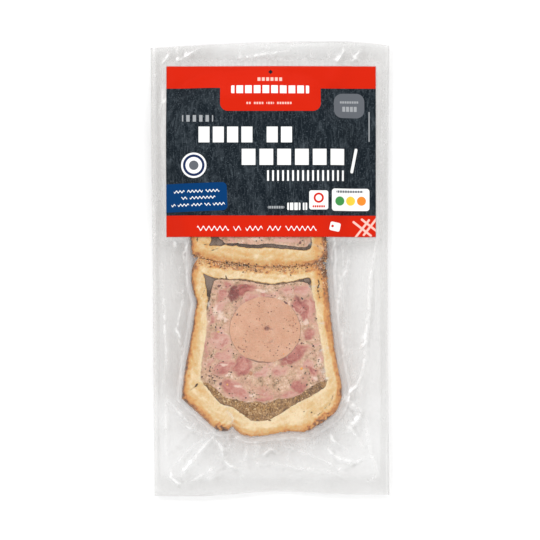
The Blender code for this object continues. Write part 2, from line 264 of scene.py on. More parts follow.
@dataclass(frozen=True)
class PackForm:
    """The pack's measurements, and the surfaces that they give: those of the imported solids."""

    width: float = 131.2
    length: float = 250.0
    flange_thickness: float = 0.8
    slice_thickness: float = 15.0
    film_over_slice: float = 0.4
    slice_x: dict = field(default_factory=lambda: {-1: -5.1, 1: -6.4})
    seam_low: tuple[float, float] = (7.0, 1.0)
    seam_bend_left: float = 0.0024
    seam_bend_right: float = 0.0055
    seam_datum: float = 2.5
    seam_gap: float = 0.04
    seam_groove_depth: float = 1.5
    seam_groove_reach: float = 3.6
    crown: tuple = (
        (-33.9, -3.8), (-37.0, 0.8), (-37.9, 6.9), (-37.2, 13.4), (-35.2, 21.1), (-36.6, 30.3), (-40.1, 52.7),
        (-42.5, 70.7), (-41.6, 74.0), (-34.2, 80.6), (-26.6, 87.7), (-22.7, 90.3), (-18.1, 90.5),
        (-15.4, 88.2), (-12.6, 90.9), (-6.4, 94.1), (4.0, 93.2), (16.5, 91.3), (23.7, 91.7), (30.2, 88.8),
        (39.5, 82.2), (43.0, 76.2), (44.3, 67.5), (40.9, 49.4), (37.9, 24.9), (36.9, 14.0), (36.2, 5.8),
        (34.5, -0.8),
    )
    points_per_span: int = 4
    clear_of_base: float = 1.0
    edge_round: float = 3.0
    edge_drop: float = 1.6
    wall_run: float = 3.6
    base_level: float = -1.0
    bridge: float = 7.0
    flange_root: tuple[float, float] = (6.0, 9.4)
    flange_far: tuple[float, float] = (3.0, 3.8)
    flange_fall: float = 14.0
    under_label_from: float = 5.0
    under_label_run: float = 30.0
    wave_half_width: float = 65.0
    wave_half_length: float = 125.0
    fold_clear_of_border: float = 12.0
    label_width: float = 115.0
    label_length: float = 93.8
    label_x: float = 0.6
    label_y: float = 64.4
    label_thickness: float = 0.35
    tent_start: float = -2.0
    tent_run: float = 17.0
    tent_margin: float = 6.0
    folds: tuple[Trace, ...] = Trace.rows(
        (4.5, 1.3, (-43.0, -78.0), (-58.0, -116.0)), (4.0, 0.9, (-27.0, -92.0), (-20.0, -116.0)),
        (4.5, 1.5, (41.0, -84.0), (55.0, -112.0)), (4.5, 0.8, (22.0, -95.0), (30.0, -117.0)),
        (4.0, 0.8, (-50.0, -112.0), (52.0, -114.0)), (4.0, 1.0, (52.0, -40.0), (46.0, -72.0)),
        (4.0, 0.7, (-52.0, 104.0), (-60.0, 119.0)), (5.0, 1.2, (36.0, 104.0), (44.0, 121.0)),
    )
    field_step: float = 0.5
    field_margin: float = 4.0

    @property
    def plateau(self) -> float:
        """Height of the film over the slices."""
        return self.slice_thickness + self.film_over_slice

    def seam_y(self, x: Array) -> Array:
        """Where the two slices' bases meet."""
        bend = np.where(x < self.seam_low[0], self.seam_bend_left, self.seam_bend_right)
        return self.seam_low[1] + bend * (x - self.seam_low[0]) ** 2

    def slice_outline(self, towards: int, base_points: int = 16) -> Array:
        """A slice's closed outline.

        Args:
            towards: 1 for the slice with its crown towards +Y, -1 for the other.
            base_points: how many points the base has; the more, the fuller its corners.
        Returns:
            The outline's points.
        """
        crown = spline(self.crown, self.points_per_span) * (-towards, towards)
        crown += (self.slice_x[towards], self.seam_datum)
        clear = crown[(crown[:, 1] - self.seam_y(crown[:, 0])) * towards > self.clear_of_base]
        base_x = np.linspace(clear[-1, 0], clear[0, 0], base_points)
        base = rows_of(base_x, self.seam_y(base_x) + self.seam_gap * towards)
        return np.vstack([clear, base[1:-1]])

    @cached_property
    def distance_field(self) -> Array:
        """Distance outside the pair of slices on a fine grid, with their notches bridged.

        Returns:
            The distances, a row for each step along x.
        """
        halves = (self.width / 2 + self.field_margin, self.length / 2 + self.field_margin)
        x, y = np.meshgrid(*(np.arange(-half, half, self.field_step) for half in halves), indexing="ij")
        lower, upper = (distance_to_outline(x, y, self.slice_outline(towards)) for towards in (-1, 1))
        mix = np.clip(0.5 + 0.5 * (upper - lower) / self.bridge, 0.0, 1.0)
        return upper + (lower - upper) * mix - self.bridge * mix * (1.0 - mix)

    def film_distance(self, x: Array, y: Array) -> Array:
        """Distance outside the pair of slices, as the film that bridges their notch sees them.

        Args:
            x, y: points of the pack.
        Returns:
            The distances.
        """
        at = [(np.asarray(values) + side / 2 + self.field_margin) / self.field_step
              for values, side in ((x, self.width), (y, self.length))]
        low = [np.clip(np.floor(values).astype(int), 0, count - 2)
               for values, count in zip(at, self.distance_field.shape)]
        shares = [values - whole for values, whole in zip(at, low)]
        return between(self.distance_field, low, [whole + 1 for whole in low], shares)

    def label_cover(self, x: Array, y: Array) -> Array:
        """1 under the label, falling to 0 a little way outside it.

        Args:
            x, y: points of the pack.
        Returns:
            The cover at each point.
        """
        outside_x = np.maximum(np.abs(x - self.label_x) - self.label_width / 2, 0.0)
        outside_y = np.maximum(np.abs(y - self.label_y) - self.label_length / 2, 0.0)
        return fade(np.hypot(outside_x, outside_y), 0.0, self.tent_margin)

    def border_distance(self, x: Array, y: Array) -> Array:
        """Distance inside the pouch's nominal cut edge."""
        return np.minimum(self.width / 2 - np.abs(x), self.length / 2 - np.abs(y))

    def flange_middle(self, x: Array, y: Array, distance: Array) -> Array:
        """Height of the sealed film's middle plane.

        Args:
            x, y: points of the pack.
            distance: how far they lie outside the slices.
        Returns:
            The heights.
        """
        under_label = smooth(y, self.under_label_from, self.under_label_run)
        root, far = (low + (high - low) * under_label for low, high in (self.flange_root, self.flange_far))
        height = far + (root - far) * np.exp(-np.maximum(distance, 0.0) / self.flange_fall)
        wave = (0.6 * np.sin(y / 17.0 + 0.8) * (x / self.wave_half_width)
                + 0.8 * np.sin(x / 15.0 + 1.2) * (y / self.wave_half_length) ** 3)
        folds = sum(fold.fold(x, y) for fold in self.folds)
        return height + wave + folds * smooth(self.border_distance(x, y), 0.0, self.fold_clear_of_border)

    def film_top(self, x: Array, y: Array) -> Array:
        """Height of the pouch's upper surface.

        Args:
            x, y: points of the pack.
        Returns:
            The heights: rounded over the slices, a steep wall beside them, and a tent under the label.
        """
        distance = self.film_distance(x, y)
        flange = self.flange_middle(x, y, distance) + self.flange_thickness / 2
        over = np.clip((distance + self.edge_round) / self.edge_round, 0, 1)
        rounded = self.plateau - self.edge_drop * over**2
        rounded = rounded - self.seam_groove_depth * bell(y - self.seam_y(x), self.seam_groove_reach)
        s = np.clip(distance / self.wall_run, 0.0, 1.0)
        lean = -2.0 * self.edge_drop / self.edge_round * self.wall_run
        wall = ((self.plateau - self.edge_drop) * (2 * s**3 - 3 * s**2 + 1) + lean * (s**3 - 2 * s**2 + s)
                + flange * (3 * s**2 - 2 * s**3))
        clinging = np.where(distance < 0.0, rounded, wall)
        tent = flange + (self.plateau - flange) * fade(distance, self.tent_start, self.tent_run)
        return clinging + (tent - clinging) * self.label_cover(x, y)

    def film_bottom(self, x: Array, y: Array) -> Array:
        """Height of the pouch's lower surface.

        Args:
            x, y: points of the pack.
        Returns:
            The heights.
        """
        distance = self.film_distance(x, y)
        flange = self.flange_middle(x, y, distance) - self.flange_thickness / 2
        return flange * smooth(distance, self.base_level, self.wall_run - self.base_level)

    def to_border(self, x: Array, y: Array) -> tuple[Array, Array]:
        """Stretches the nominal rectangle to the pouch's slightly uneven cut edge.

        Args:
            x, y: points of the rectangle.
        Returns:
            The points of the pouch.
        """
        half_width, half_length = self.width / 2, self.length / 2
        left = -half_width + 2.2 * (half_length - y) / self.length
        right = half_width - 0.8 * (1.0 - (y / half_length) ** 2)
        new_x = left + (right - left) * (x + half_width) / self.width
        top = half_length - 3.3 * ((new_x - 38.0) / np.where(new_x < 38.0, 100.0, 34.0)) ** 2
        bottom = -half_length + 2.4 * bell(new_x - 3.0, 25.0) + 0.01 * np.abs(new_x + 38.0)
        return new_x, bottom + (top - bottom) * (y + half_length) / self.length


def link(name: str, data: bpy.types.ID) -> bpy.types.Object:
    """A new object in the scene, at the origin.

    Args:
        name: its name.
        data: the mesh, camera or light it shows.
    Returns:
        The object.
    """
    made = bpy.data.objects.new(name, data)
    bpy.context.scene.collection.objects.link(made)
    return made


class MeshWork:
    """Turns grids of points into Blender meshes."""

    @staticmethod
    def grid_faces(rows: int, columns: int, wrapped: bool = False) -> Array:
        """Quads between neighbouring points of a grid.

        Args:
            rows, columns: the grid's size; it is stored row by row.
            wrapped: True where its last row and column join its first.
        Returns:
            Four indices a quad.
        """
        less = 0 if wrapped else 1
        i, j = np.meshgrid(np.arange(rows - less), np.arange(columns - less), indexing="ij")
        i2, j2 = (i + 1) % rows, (j + 1) % columns
        corners = [i * columns + j, i2 * columns + j, i2 * columns + j2, i * columns + j2]
        return np.stack(corners, -1).reshape(-1, 4)

    @staticmethod
    def rim_of(rows: int, columns: int) -> Array:
        """The points round a grid's edge, in order."""
        index = np.arange(rows * columns).reshape(rows, columns)
        return np.concatenate([index[:-1, 0], index[-1, :-1], index[:0:-1, -1], index[0, :0:-1]])

    @staticmethod
    def build(name: str, points: Array, faces: Array | list, marks: dict[str, Array], closed: bool = True,
              material: bpy.types.Material | None = None) -> bpy.types.Object:
        """A smooth-shaded object.

        Args:
            name: the object's name.
            points: one row a point, in millimetres.
            faces: index lists.
            marks: named values, one a point, kept as attributes.
            closed: True for a closed mesh, whose faces are turned outwards.
            material: what it is dressed in.
        Returns:
            The object, linked and at the origin.
        """
        mesh = bpy.data.meshes.new(name)
        mesh.from_pydata((points * MM).tolist(), [], faces if isinstance(faces, list) else faces.tolist())
        mesh.validate()
        mesh.shade_smooth()
        for key, values in marks.items():
            attribute = mesh.attributes.new(key, "FLOAT", "POINT")
            attribute.data.foreach_set("value", np.asarray(values, np.float32).ravel())
        if closed:
            work = bmesh.new()
            work.from_mesh(mesh)
            bmesh.ops.recalc_face_normals(work, faces=work.faces[:])
            work.to_mesh(mesh)
            work.free()
        if material:
            mesh.materials.append(material)
        return link(name, mesh)

    @classmethod
    def loft(cls, name: str, loops: list[Array], marks: dict[str, list[Array]],
             material: bpy.types.Material) -> bpy.types.Object:
        """A ring through closed loops of points, the last joined to the first.

        Args:
            name: the object's name.
            loops: arrays of points of one length, in order round the section.
            marks: for each attribute, one array a loop.
            material: what it is dressed in.
        Returns:
            The object.
        """
        return cls.build(name, np.vstack(loops), cls.grid_faces(len(loops), len(loops[0]), True),
                         {key: np.concatenate(values) for key, values in marks.items()}, material=material)

    @classmethod
    def slab(cls, name: str, places: Sequence[Array], sheets: Sequence[Array], marks: dict[str, Array],
             material: bpy.types.Material) -> bpy.types.Object:
        """A closed mesh between two sheets over one grid.

        Args:
            name: the object's name.
            places: the grid's two coordinates.
            sheets: the heights of the upper and the lower sheet.
            marks: for each attribute, one value a grid point, used on both sheets.
            material: what it is dressed in.
        Returns:
            The object.
        """
        shape, count = places[0].shape, places[0].size
        faces, rim = cls.grid_faces(*shape), cls.rim_of(*shape)
        after = np.roll(rim, -1)
        sides = rows_of(rim, after, after + count, rim + count)
        points = np.vstack([rows_of(*places, heights) for heights in sheets])
        return cls.build(name, points, np.vstack([faces, faces[:, ::-1] + count, sides]),
                         {key: np.tile(values.ravel(), 2) for key, values in marks.items()},
                         material=material)


def colour(red: int, green: int, blue: int) -> tuple[float, float, float, float]:
    """A colour given as it looks on screen, 0 to 255, as Blender's linear colour."""
    return (*[((c / 255 + 0.055) / 1.055) ** 2.4 if c > 10 else c / 255 / 12.92
              for c in (red, green, blue)], 1.0)


class Value:
    """An output in a node tree, which sums and products can be made of."""

    def __init__(self, wire: "Wiring", socket: bpy.types.NodeSocket) -> None:
        """Takes one output of the tree."""
        self.wire, self.socket = wire, socket

    def __add__(self, other: "Source") -> "Value":
        """The sum."""
        return self.wire.math("ADD", self, other)

    def __sub__(self, other: "Source") -> "Value":
        """The difference."""
        return self.wire.math("SUBTRACT", self, other)

    def __rsub__(self, other: "Source") -> "Value":
        """The difference of something from it."""
        return self.wire.math("SUBTRACT", other, self)

    def __mul__(self, other: "Source") -> "Value":
        """The product."""
        return self.wire.math("MULTIPLY", self, other)

    def __truediv__(self, other: "Source") -> "Value":
        """The quotient."""
        return self.wire.math("DIVIDE", self, other)

    def __rtruediv__(self, other: "Source") -> "Value":
        """Something divided by it."""
        return self.wire.math("DIVIDE", other, self)

    def __abs__(self) -> "Value":
        """The value without its sign."""
        return self.wire.math("ABSOLUTE", self)

    def other(self, output: str) -> "Value":
        """Another output of the same node."""
        return Value(self.wire, self.socket.node.outputs[output])


Source = Value | float | tuple


class Wiring:
    """Short calls that add nodes to one tree of shader or geometry nodes."""

    def __init__(self, tree: bpy.types.NodeTree) -> None:
        """Works on the given tree."""
        self.tree = tree

    def feed(self, target: bpy.types.NodeSocket, source: Source) -> None:
        """Links a value to an input, or sets the input's own value.

        Args:
            target: the input.
            source: the value.
        """
        if isinstance(source, Value):
            self.tree.links.new(source.socket, target)
        else:
            target.default_value = source

    def node(self, kind: str, feeds: dict, output: int | str = 0, **settings: object) -> Value:
        """Adds a node.

        Args:
            kind: its type.
            feeds: a value of the tree or a plain one for each input.
            output: the output handed back.
            settings: the node's own options.
        Returns:
            That output.
        """
        made = self.tree.nodes.new(kind)
        for key, value in settings.items():
            setattr(made, key, value)
        for key, source in feeds.items():
            self.feed(made.inputs[key], source)
        return Value(self, made.outputs[output])

    def place(self) -> Value:
        """The point being shaded, in millimetres of the pack."""
        at = self.node("ShaderNodeTexCoord", {}, "Object")
        return self.node("ShaderNodeVectorMath", {0: at, "Scale": 1.0 / MM}, operation="SCALE")

    def mark(self, name: str) -> Value:
        """A value kept on the mesh."""
        return self.node("ShaderNodeAttribute", {}, "Fac", attribute_name=name)

    def stretch(self, vector: Value, scale: tuple[float, float, float], turn: float = 0.0) -> Value:
        """The vector, turned about Z and scaled axis by axis."""
        return self.node("ShaderNodeMapping",
                         {"Vector": vector, "Rotation": (0.0, 0.0, turn), "Scale": scale})

    def noise(self, vector: Value, size: Source, detail: Source = 3.0, rough: float = 0.55,
              warp: Source = 0.0) -> Value:
        """Noise with features about size millimetres across."""
        return self.node("ShaderNodeTexNoise", {"Vector": vector, "Scale": 1.0 / size, "Detail": detail,
                                                "Roughness": rough, "Distortion": warp}, "Fac")

    def noises(self, vector: Value, rough: float, *sizes: float) -> list[Value]:
        """Noises with features of several sizes."""
        return [self.noise(vector, size, 3.0, rough) for size in sizes]

    def math(self, operation: str, a: Source, b: Source = 0.0, clamp: bool = False) -> Value:
        """A Math node."""
        return self.node("ShaderNodeMath", {0: a, 1: b}, operation=operation, use_clamp=clamp)

    def step(self, value: Value, low: Source, high: Source, out_low: float = 0.0,
             out_high: float = 1.0) -> Value:
        """A smooth change from out_low to out_high as the value goes from low to high."""
        feeds = {"Value": value, "From Min": low, "From Max": high, "To Min": out_low, "To Max": out_high}
        return self.node("ShaderNodeMapRange", feeds, "Result", interpolation_type="SMOOTHSTEP")

    def mix(self, share: Source, a: Source, b: Source) -> Value:
        """Two colours mixed."""
        return self.node("ShaderNodeMix", {"Factor": share, 6: a, 7: b}, 2, data_type="RGBA")

    def lay(self, shade: Value, mask: Source, red: int, green: int, blue: int) -> Value:
        """A shade with a colour laid over it by a mask."""
        return self.mix(mask, shade, colour(red, green, blue))

    def uneven(self, base: Source, *terms: tuple[Value, float]) -> Value:
        """A value made uneven by noises.

        Args:
            base: the value.
            terms: each noise, which lies round 0.5, with its gain.
        Returns:
            The uneven value.
        """
        total = self.math("SUBTRACT", base, 0.5 * sum(gain for _, gain in terms))
        for source, gain in terms:
            total = total + source * gain
        return total

    def ramp(self, value: Value, stops: Sequence[tuple[float, int, int, int]]) -> Value:
        """Colours along a value.

        Args:
            value: the value.
            stops: a position with its colour's red, green and blue, for each stop.
        Returns:
            The colour.
        """
        made = self.node("ShaderNodeValToRGB", {"Fac": value}, "Color")
        elements = made.socket.node.color_ramp.elements
        while len(elements) < len(stops):
            elements.new(0.5)
        for element, (position, *shade) in zip(elements, stops):
            element.position, element.color = position, colour(*shade)
        return made

    def bump(self, height: Value, strength: float, depth: float) -> Value:
        """A normal bumped by heights from 0 to 1, which lie depth millimetres apart."""
        return self.node("ShaderNodeBump", {"Strength": strength, "Distance": depth * MM, "Height": height},
                         "Normal")

    def group(self, name: str, vector: Value, **inputs: float) -> Value:
        """The mask of a shared node group, whose inputs are named with underscores for spaces."""
        feeds = {key.replace("_", " ").title(): given for key, given in {"vector": vector, **inputs}.items()}
        return self.node("ShaderNodeGroup", feeds, "Mask", node_tree=bpy.data.node_groups[name])


class SharedEffects:
    """Shader node groups that several finishes use; each puts out a mask."""

    def build(self) -> None:
        """Builds the groups."""
        self.group("mottle", self.mottle, size=2.0, low=0.4, high=0.6, detail=4.0, warp=0.3)
        self.group("flecks", self.flecks, spacing=2.0, radius=0.2, share=0.5)
        self.group("panel", self.panel, middle_x=0.0, middle_y=0.0, half_width=5.0, half_height=5.0,
                   corner=1.0, turn=0.0, pitch=0.0, wave=0.0, gap_share=0.2, line=0.4, edge=0.12)

    @staticmethod
    def group(name: str, build: Callable, **inputs: float) -> None:
        """One group.

        Args:
            name: its name.
            build: makes the mask from the wiring and the group's inputs.
            inputs: its numbers with their usual values, which come after a vector.
        """
        tree = bpy.data.node_groups.new(name, "ShaderNodeTree")
        tree.interface.new_socket("Vector", in_out="INPUT", socket_type="NodeSocketVector")
        for key, value in inputs.items():
            label = key.replace("_", " ").title()
            tree.interface.new_socket(label, in_out="INPUT",
                                      socket_type="NodeSocketFloat").default_value = value
        tree.interface.new_socket("Mask", in_out="OUTPUT", socket_type="NodeSocketFloat")
        wire, entry = Wiring(tree), tree.nodes.new("NodeGroupInput").outputs
        mask = build(wire, **{key: Value(wire, socket) for key, socket in zip(("vector", *inputs), entry)})
        wire.feed(tree.nodes.new("NodeGroupOutput").inputs[0], mask)

    @staticmethod
    def mottle(wire: Wiring, vector: Value, size: Value, low: Value, high: Value, detail: Value,
               warp: Value) -> Value:
        """Cloudy patches: noise pushed towards 0 and 1."""
        return wire.step(wire.noise(vector, size, detail, 0.5, warp), low, high)

    @staticmethod
    def flecks(wire: Wiring, vector: Value, spacing: Value, radius: Value, share: Value) -> Value:
        """Small round flecks.

        Args:
            wire: the group's wiring.
            vector: where.
            spacing: the size of the cells that each can hold one.
            radius: the flecks' usual radius.
            share: how many of the cells hold one.
        Returns:
            The mask.
        """
        cell = wire.node("ShaderNodeTexVoronoi", {"Vector": vector, "Scale": 1.0 / spacing}, "Color")
        chance = wire.node("ShaderNodeSeparateXYZ", {0: cell})
        limit = radius * (chance.other("Y") + 0.4) / spacing
        edge = wire.step((limit - cell.other("Distance")) / limit, 0.0, 0.5)
        return wire.math("LESS_THAN", chance, share) * edge

    @staticmethod
    def panel(wire: Wiring, vector: Value, middle_x: Value, middle_y: Value, half_width: Value,
              half_height: Value,
              corner: Value, turn: Value, pitch: Value, wave: Value, gap_share: Value, line: Value,
              edge: Value) -> Value:
        """A flat printed shape: a rectangle with rounded corners, whole, in blocks, or as a waving line.

        Args:
            wire: the group's wiring.
            vector: where.
            middle_x, middle_y, half_width, half_height, corner, turn: the rectangle.
            pitch: above 0, how far apart its blocks are, or how long a wave is.
            wave: above 0, how far the line waves.
            gap_share: how much of a pitch is gap.
            line: how much of the height a waving line has.
            edge: how soft its edge is.
        Returns:
            The mask.
        """
        x = wire.node("ShaderNodeSeparateXYZ", {0: vector})
        dx, dy = x - middle_x, x.other("Y") - middle_y
        cosine, sine = wire.math("COSINE", turn), wire.math("SINE", turn)
        u, v = dx * cosine + dy * sine, dy * cosine - dx * sine
        waving = wire.math("GREATER_THAN", wave, 0.0)
        turns = u / wire.math("MAXIMUM", pitch, 0.01)
        v = v - wave * wire.math("SINE", turns * TURN)
        half_height = half_height * (1.0 - waving * (1.0 - line))
        corner = wire.math("MINIMUM", corner, half_height)
        qx, qy = abs(u) - (half_width - corner), abs(v) - (half_height - corner)
        px, py = (wire.math("MAXIMUM", value, 0.0) for value in (qx, qy))
        within = wire.math("MINIMUM", wire.math("MAXIMUM", qx, qy), 0.0)
        distance = wire.math("SQRT", px * px + py * py) + within - corner
        mask = wire.math("SUBTRACT", 0.5, distance / edge, clamp=True)
        from_gap = abs(wire.math("FRACT", turns) - 0.5)
        block = wire.math("DIVIDE", 0.5 - gap_share * 0.5 - from_gap, 0.03, clamp=True)
        blocky = wire.math("GREATER_THAN", pitch, 0.0) * (1.0 - waving)
        return mask * (1.0 - blocky * (1.0 - block))


class Finish:
    """Base of the finishes: makes a material once and hands it out."""

    name: str

    def build(self, wire: Wiring) -> dict[str, Source]:
        """Wires the material and gives its shader's inputs."""
        raise NotImplementedError

    @cached_property
    def material(self) -> bpy.types.Material:
        """The finished material.

        Returns:
            The material.
        """
        made = bpy.data.materials.new(self.name)
        made.use_nodes = True
        wire = Wiring(made.node_tree)
        for key, source in self.build(wire).items():
            wire.feed(made.node_tree.nodes["Principled BSDF"].inputs[key], source)
        return made


@dataclass(frozen=True)
class CrustFinish(Finish):
    """Baked crust pastry: pale and close inside, golden to brown towards its outside.

    The mesh carries "bake", 0 inside to 1 at the browned edge and above 1 where it is burnt, and "crack".
    """

    name: str = "pastry_crust"

    def build(self, wire: Wiring) -> dict[str, Source]:
        """Colour by baking, flour, pores, dark cracks and a crumbly bump.

        Args:
            wire: the material's tree.
        Returns:
            The shader's inputs by name.
        """
        place = wire.place()
        fine, mottled, cloudy = wire.noises(place, 0.6, 0.5, 1.6, 6.0)
        amount = wire.uneven(wire.mark("bake"), (fine, 0.3), (mottled, 0.24), (cloudy, 0.26))
        shade = wire.ramp(wire.math("DIVIDE", amount, 1.6, clamp=True), (
            (0.0, 231, 208, 170), (0.08, 216, 185, 135), (0.17, 211, 167, 105), (0.27, 207, 148, 82),
            (0.4, 186, 119, 62), (0.55, 142, 92, 54), (0.75, 98, 64, 42), (1.0, 48, 32, 24)))
        flour = wire.group("mottle", place, size=3.6, low=0.52, high=0.68)
        shade = wire.lay(shade, flour * wire.step(amount, 0.5, 0.15, 0.0, 0.3), 230, 208, 172)
        pores = wire.group("flecks", place, spacing=1.7, radius=0.3, share=0.3)
        shade = wire.lay(shade, pores * 0.6, 172, 118, 72)
        toasted = wire.group("mottle", place, size=7.0, low=0.55, high=0.75)
        shade = wire.lay(shade, toasted * 0.22, 214, 158, 92)
        crack = wire.step(wire.uneven(wire.mark("crack"), (fine, 0.7), (mottled, 0.5)), 0.35, 0.8)
        height = wire.uneven(crack * -1.0, (fine, 0.6), (mottled, 1.0))
        return {"Base Color": wire.lay(shade, crack, 70, 48, 34),
                "Roughness": wire.step(mottled, 0.3, 0.7, 0.45, 0.7),
                "Subsurface Weight": 0.1, "Subsurface Scale": SOFT_DEPTH,
                "Normal": wire.bump(height, 0.8, 0.3)}


@dataclass(frozen=True)
class ForcemeatFinish(Finish):
    """Cut forcemeat with pieces of ham.

    The mesh carries "ham", above 0 inside a piece of ham, "tone", how dark that piece is, "fibre", the
    streaks along it, and "fat", where pale fat lies.
    """

    name: str = "forcemeat"

    def build(self, wire: Wiring) -> dict[str, Source]:
        """Ground meat, ham with soft streaky edges, fat and herbs.

        Args:
            wire: the material's tree.
        Returns:
            The shader's inputs by name.
        """
        place = wire.place()
        fine, mottled, cloudy = wire.noises(place, 0.62, 0.55, 1.3, 4.5)
        ground = wire.ramp(wire.uneven(0.5, (fine, 0.8), (mottled, 1.5), (cloudy, 1.5)), (
            (0.0, 130, 104, 78), (0.25, 172, 138, 110), (0.5, 197, 160, 132), (0.72, 208, 172, 147),
            (1.0, 232, 208, 186)))
        pinkish = wire.group("mottle", place, size=6.0, low=0.42, high=0.62, warp=0.8)
        ground = wire.lay(ground, pinkish * 0.34, 204, 150, 134)
        herbs = wire.group("flecks", place, spacing=2.2, radius=0.34, share=0.24)
        ground = wire.lay(ground, herbs * 0.5, 140, 122, 94)
        spice = wire.group("flecks", place, spacing=5.0, radius=0.5, share=0.2)
        ground = wire.lay(ground, spice * 0.5, 222, 152, 96)
        inside = wire.step(wire.uneven(wire.mark("ham"), (fine, 1.2), (mottled, 1.4)), -0.9, 1.3)
        tone = wire.uneven(wire.mark("tone"), (wire.mark("fibre"), 0.6), (mottled, 0.6), (cloudy, 0.5))
        ham = wire.ramp(tone, ((0.0, 208, 166, 149), (0.25, 200, 148, 134), (0.5, 181, 115, 103),
                               (0.75, 156, 84, 76), (1.0, 120, 54, 48)))
        fat = wire.step(wire.uneven(wire.mark("fat"), (fine, 0.8), (mottled, 1.0)), 0.1, 1.0)
        shade = wire.lay(wire.mix(inside, ground, ham), fat * 0.65, 236, 214, 198)
        height = wire.uneven(inside * 0.25, (fine, 0.7), (mottled, 0.9))
        return {"Base Color": shade, "Roughness": wire.step(mottled, 0.3, 0.7, 0.3, 0.5),
                "Subsurface Weight": 0.12, "Subsurface Scale": SOFT_DEPTH,
                "Normal": wire.bump(height, 0.6, 0.25)}


@dataclass(frozen=True)
class MousseFinish(Finish):
    """Smooth pale mousse with fine pores.

    The mesh carries "pit", 1 in its pits and dents, which are painted darker as painted shade, and "rim", 1
    where it has come away from the forcemeat, painted with a dark line as a painted shadow.
    """

    name: str = "mousse"

    def build(self, wire: Wiring) -> dict[str, Source]:
        """An even salmon colour, faint clouds, pores, and painted shade in the pits and along the rim.

        Args:
            wire: the material's tree.
        Returns:
            The shader's inputs by name.
        """
        place = wire.place()
        fine, cloudy = wire.noise(place, 0.6, 3.0, 0.65), wire.noise(place, 6.0, 2.0)
        shade = wire.ramp(wire.uneven(0.5, (fine, 1.2), (cloudy, 0.8)), (
            (0.0, 182, 130, 100), (0.5, 203, 154, 125), (1.0, 220, 178, 152)))
        pores = wire.group("flecks", place, spacing=1.2, radius=0.2, share=0.4)
        shade = wire.lay(shade, pores * 0.7, 160, 102, 78)
        # painted shade in the pits and dents, and a painted shadow line along the rim
        shade = wire.lay(shade, wire.step(wire.mark("pit"), 0.15, 0.8, 0.0, 0.85), 150, 104, 92)
        shade = wire.lay(shade, wire.step(wire.mark("rim"), 0.35, 0.9, 0.0, 0.8), 112, 78, 62)
        height = wire.uneven(pores * -1.0, (fine, 0.6))
        return {"Base Color": shade, "Roughness": wire.step(fine, 0.3, 0.7, 0.4, 0.52),
                "Subsurface Weight": 0.15, "Subsurface Scale": SOFT_DEPTH,
                "Normal": wire.bump(height, 0.4, 0.15)}


@dataclass(frozen=True)
class JellyFinish(Finish):
    """Brown jelly: chopped and grainy under the crown, dark and glassy in the pockets, pale where it is thin.

    The mesh carries "pocket", 1 where the jelly is glassy, "deep", the glassy jelly's painted light,
    from 0 at the pocket's walls, further from the base and where it is thin, painted shade, to 1 in its
    middle near the base, a painted grey reflection, "line", 1 in the dark line along the base, "thin", 1 in
    the pale line up the sides, and "dark", 1 where the chopped jelly is browner.
    """

    name: str = "jelly"

    def build(self, wire: Wiring) -> dict[str, Source]:
        """Grains, glassy pockets with painted shade at their walls and a painted grey reflection, and a wet
        gloss.

        Args:
            wire: the material's tree.
        Returns:
            The shader's inputs by name.
        """
        place, pocket = wire.place(), wire.mark("pocket")
        fine, mottled, cloudy = wire.noises(place, 0.65, 0.5, 1.2, 4.0)
        level = wire.step(wire.mark("dark"), 0.0, 1.0, 0.52, 0.3)
        grainy = wire.ramp(wire.uneven(level, (fine, 1.3), (mottled, 1.6), (cloudy, 1.6)), (
            (0.0, 98, 66, 34), (0.3, 136, 98, 54), (0.55, 164, 122, 74), (0.8, 186, 146, 98),
            (1.0, 218, 190, 150)))
        # the glassy pockets: dark brown jelly with painted shade towards the walls and a painted grey
        # reflection in streaks in the middle
        streaks = wire.noise(wire.stretch(place, (1.0, 0.2, 1.0), 0.25), 1.1, 3.0, 0.6)
        glassy = wire.ramp(wire.uneven(wire.mark("deep"), (streaks, 0.7), (cloudy, 0.6)), (
            (0.0, 34, 20, 10), (0.3, 58, 39, 25), (0.65, 84, 64, 50), (1.0, 122, 103, 90)))
        shade = wire.mix(pocket, grainy, glassy)
        lined = wire.mix(wire.step(mottled, 0.35, 0.65), colour(76, 56, 40), colour(150, 116, 86))
        shade = wire.mix(wire.mark("line"), shade, lined)
        shade = wire.mix(wire.mark("thin"), shade,
                         wire.mix(mottled, colour(206, 168, 134), colour(226, 194, 158)))
        height = wire.uneven(0.5, (fine, 1.0), (mottled, 1.2)) * (1.0 - pocket * 0.8)
        return {"Base Color": shade, "Roughness": wire.step(fine, 0.3, 0.7, 0.15, 0.4), "Coat Weight": 0.2,
                "Coat Roughness": 0.1, "Normal": wire.bump(height, 0.9, 0.4)}


@dataclass(frozen=True)
class BitFinish(Finish):
    """Crumbs, pepper or grains, each with its own "shade" from 0 to 1."""

    name: str
    roughness: float
    stops: tuple
    grain: float = 0.25

    def build(self, wire: Wiring) -> dict[str, Source]:
        """A colour for each bit with fine grain over it.

        Args:
            wire: the material's tree.
        Returns:
            The shader's inputs by name.
        """
        fine = wire.noise(wire.place(), self.grain, 3.0, 0.6)
        return {"Base Color": wire.ramp(wire.uneven(wire.mark("shade"), (fine, 0.35)), self.stops),
                "Roughness": wire.step(fine, 0.3, 0.7, self.roughness, self.roughness + 0.15),
                "Normal": wire.bump(fine, 0.5, 0.1)}


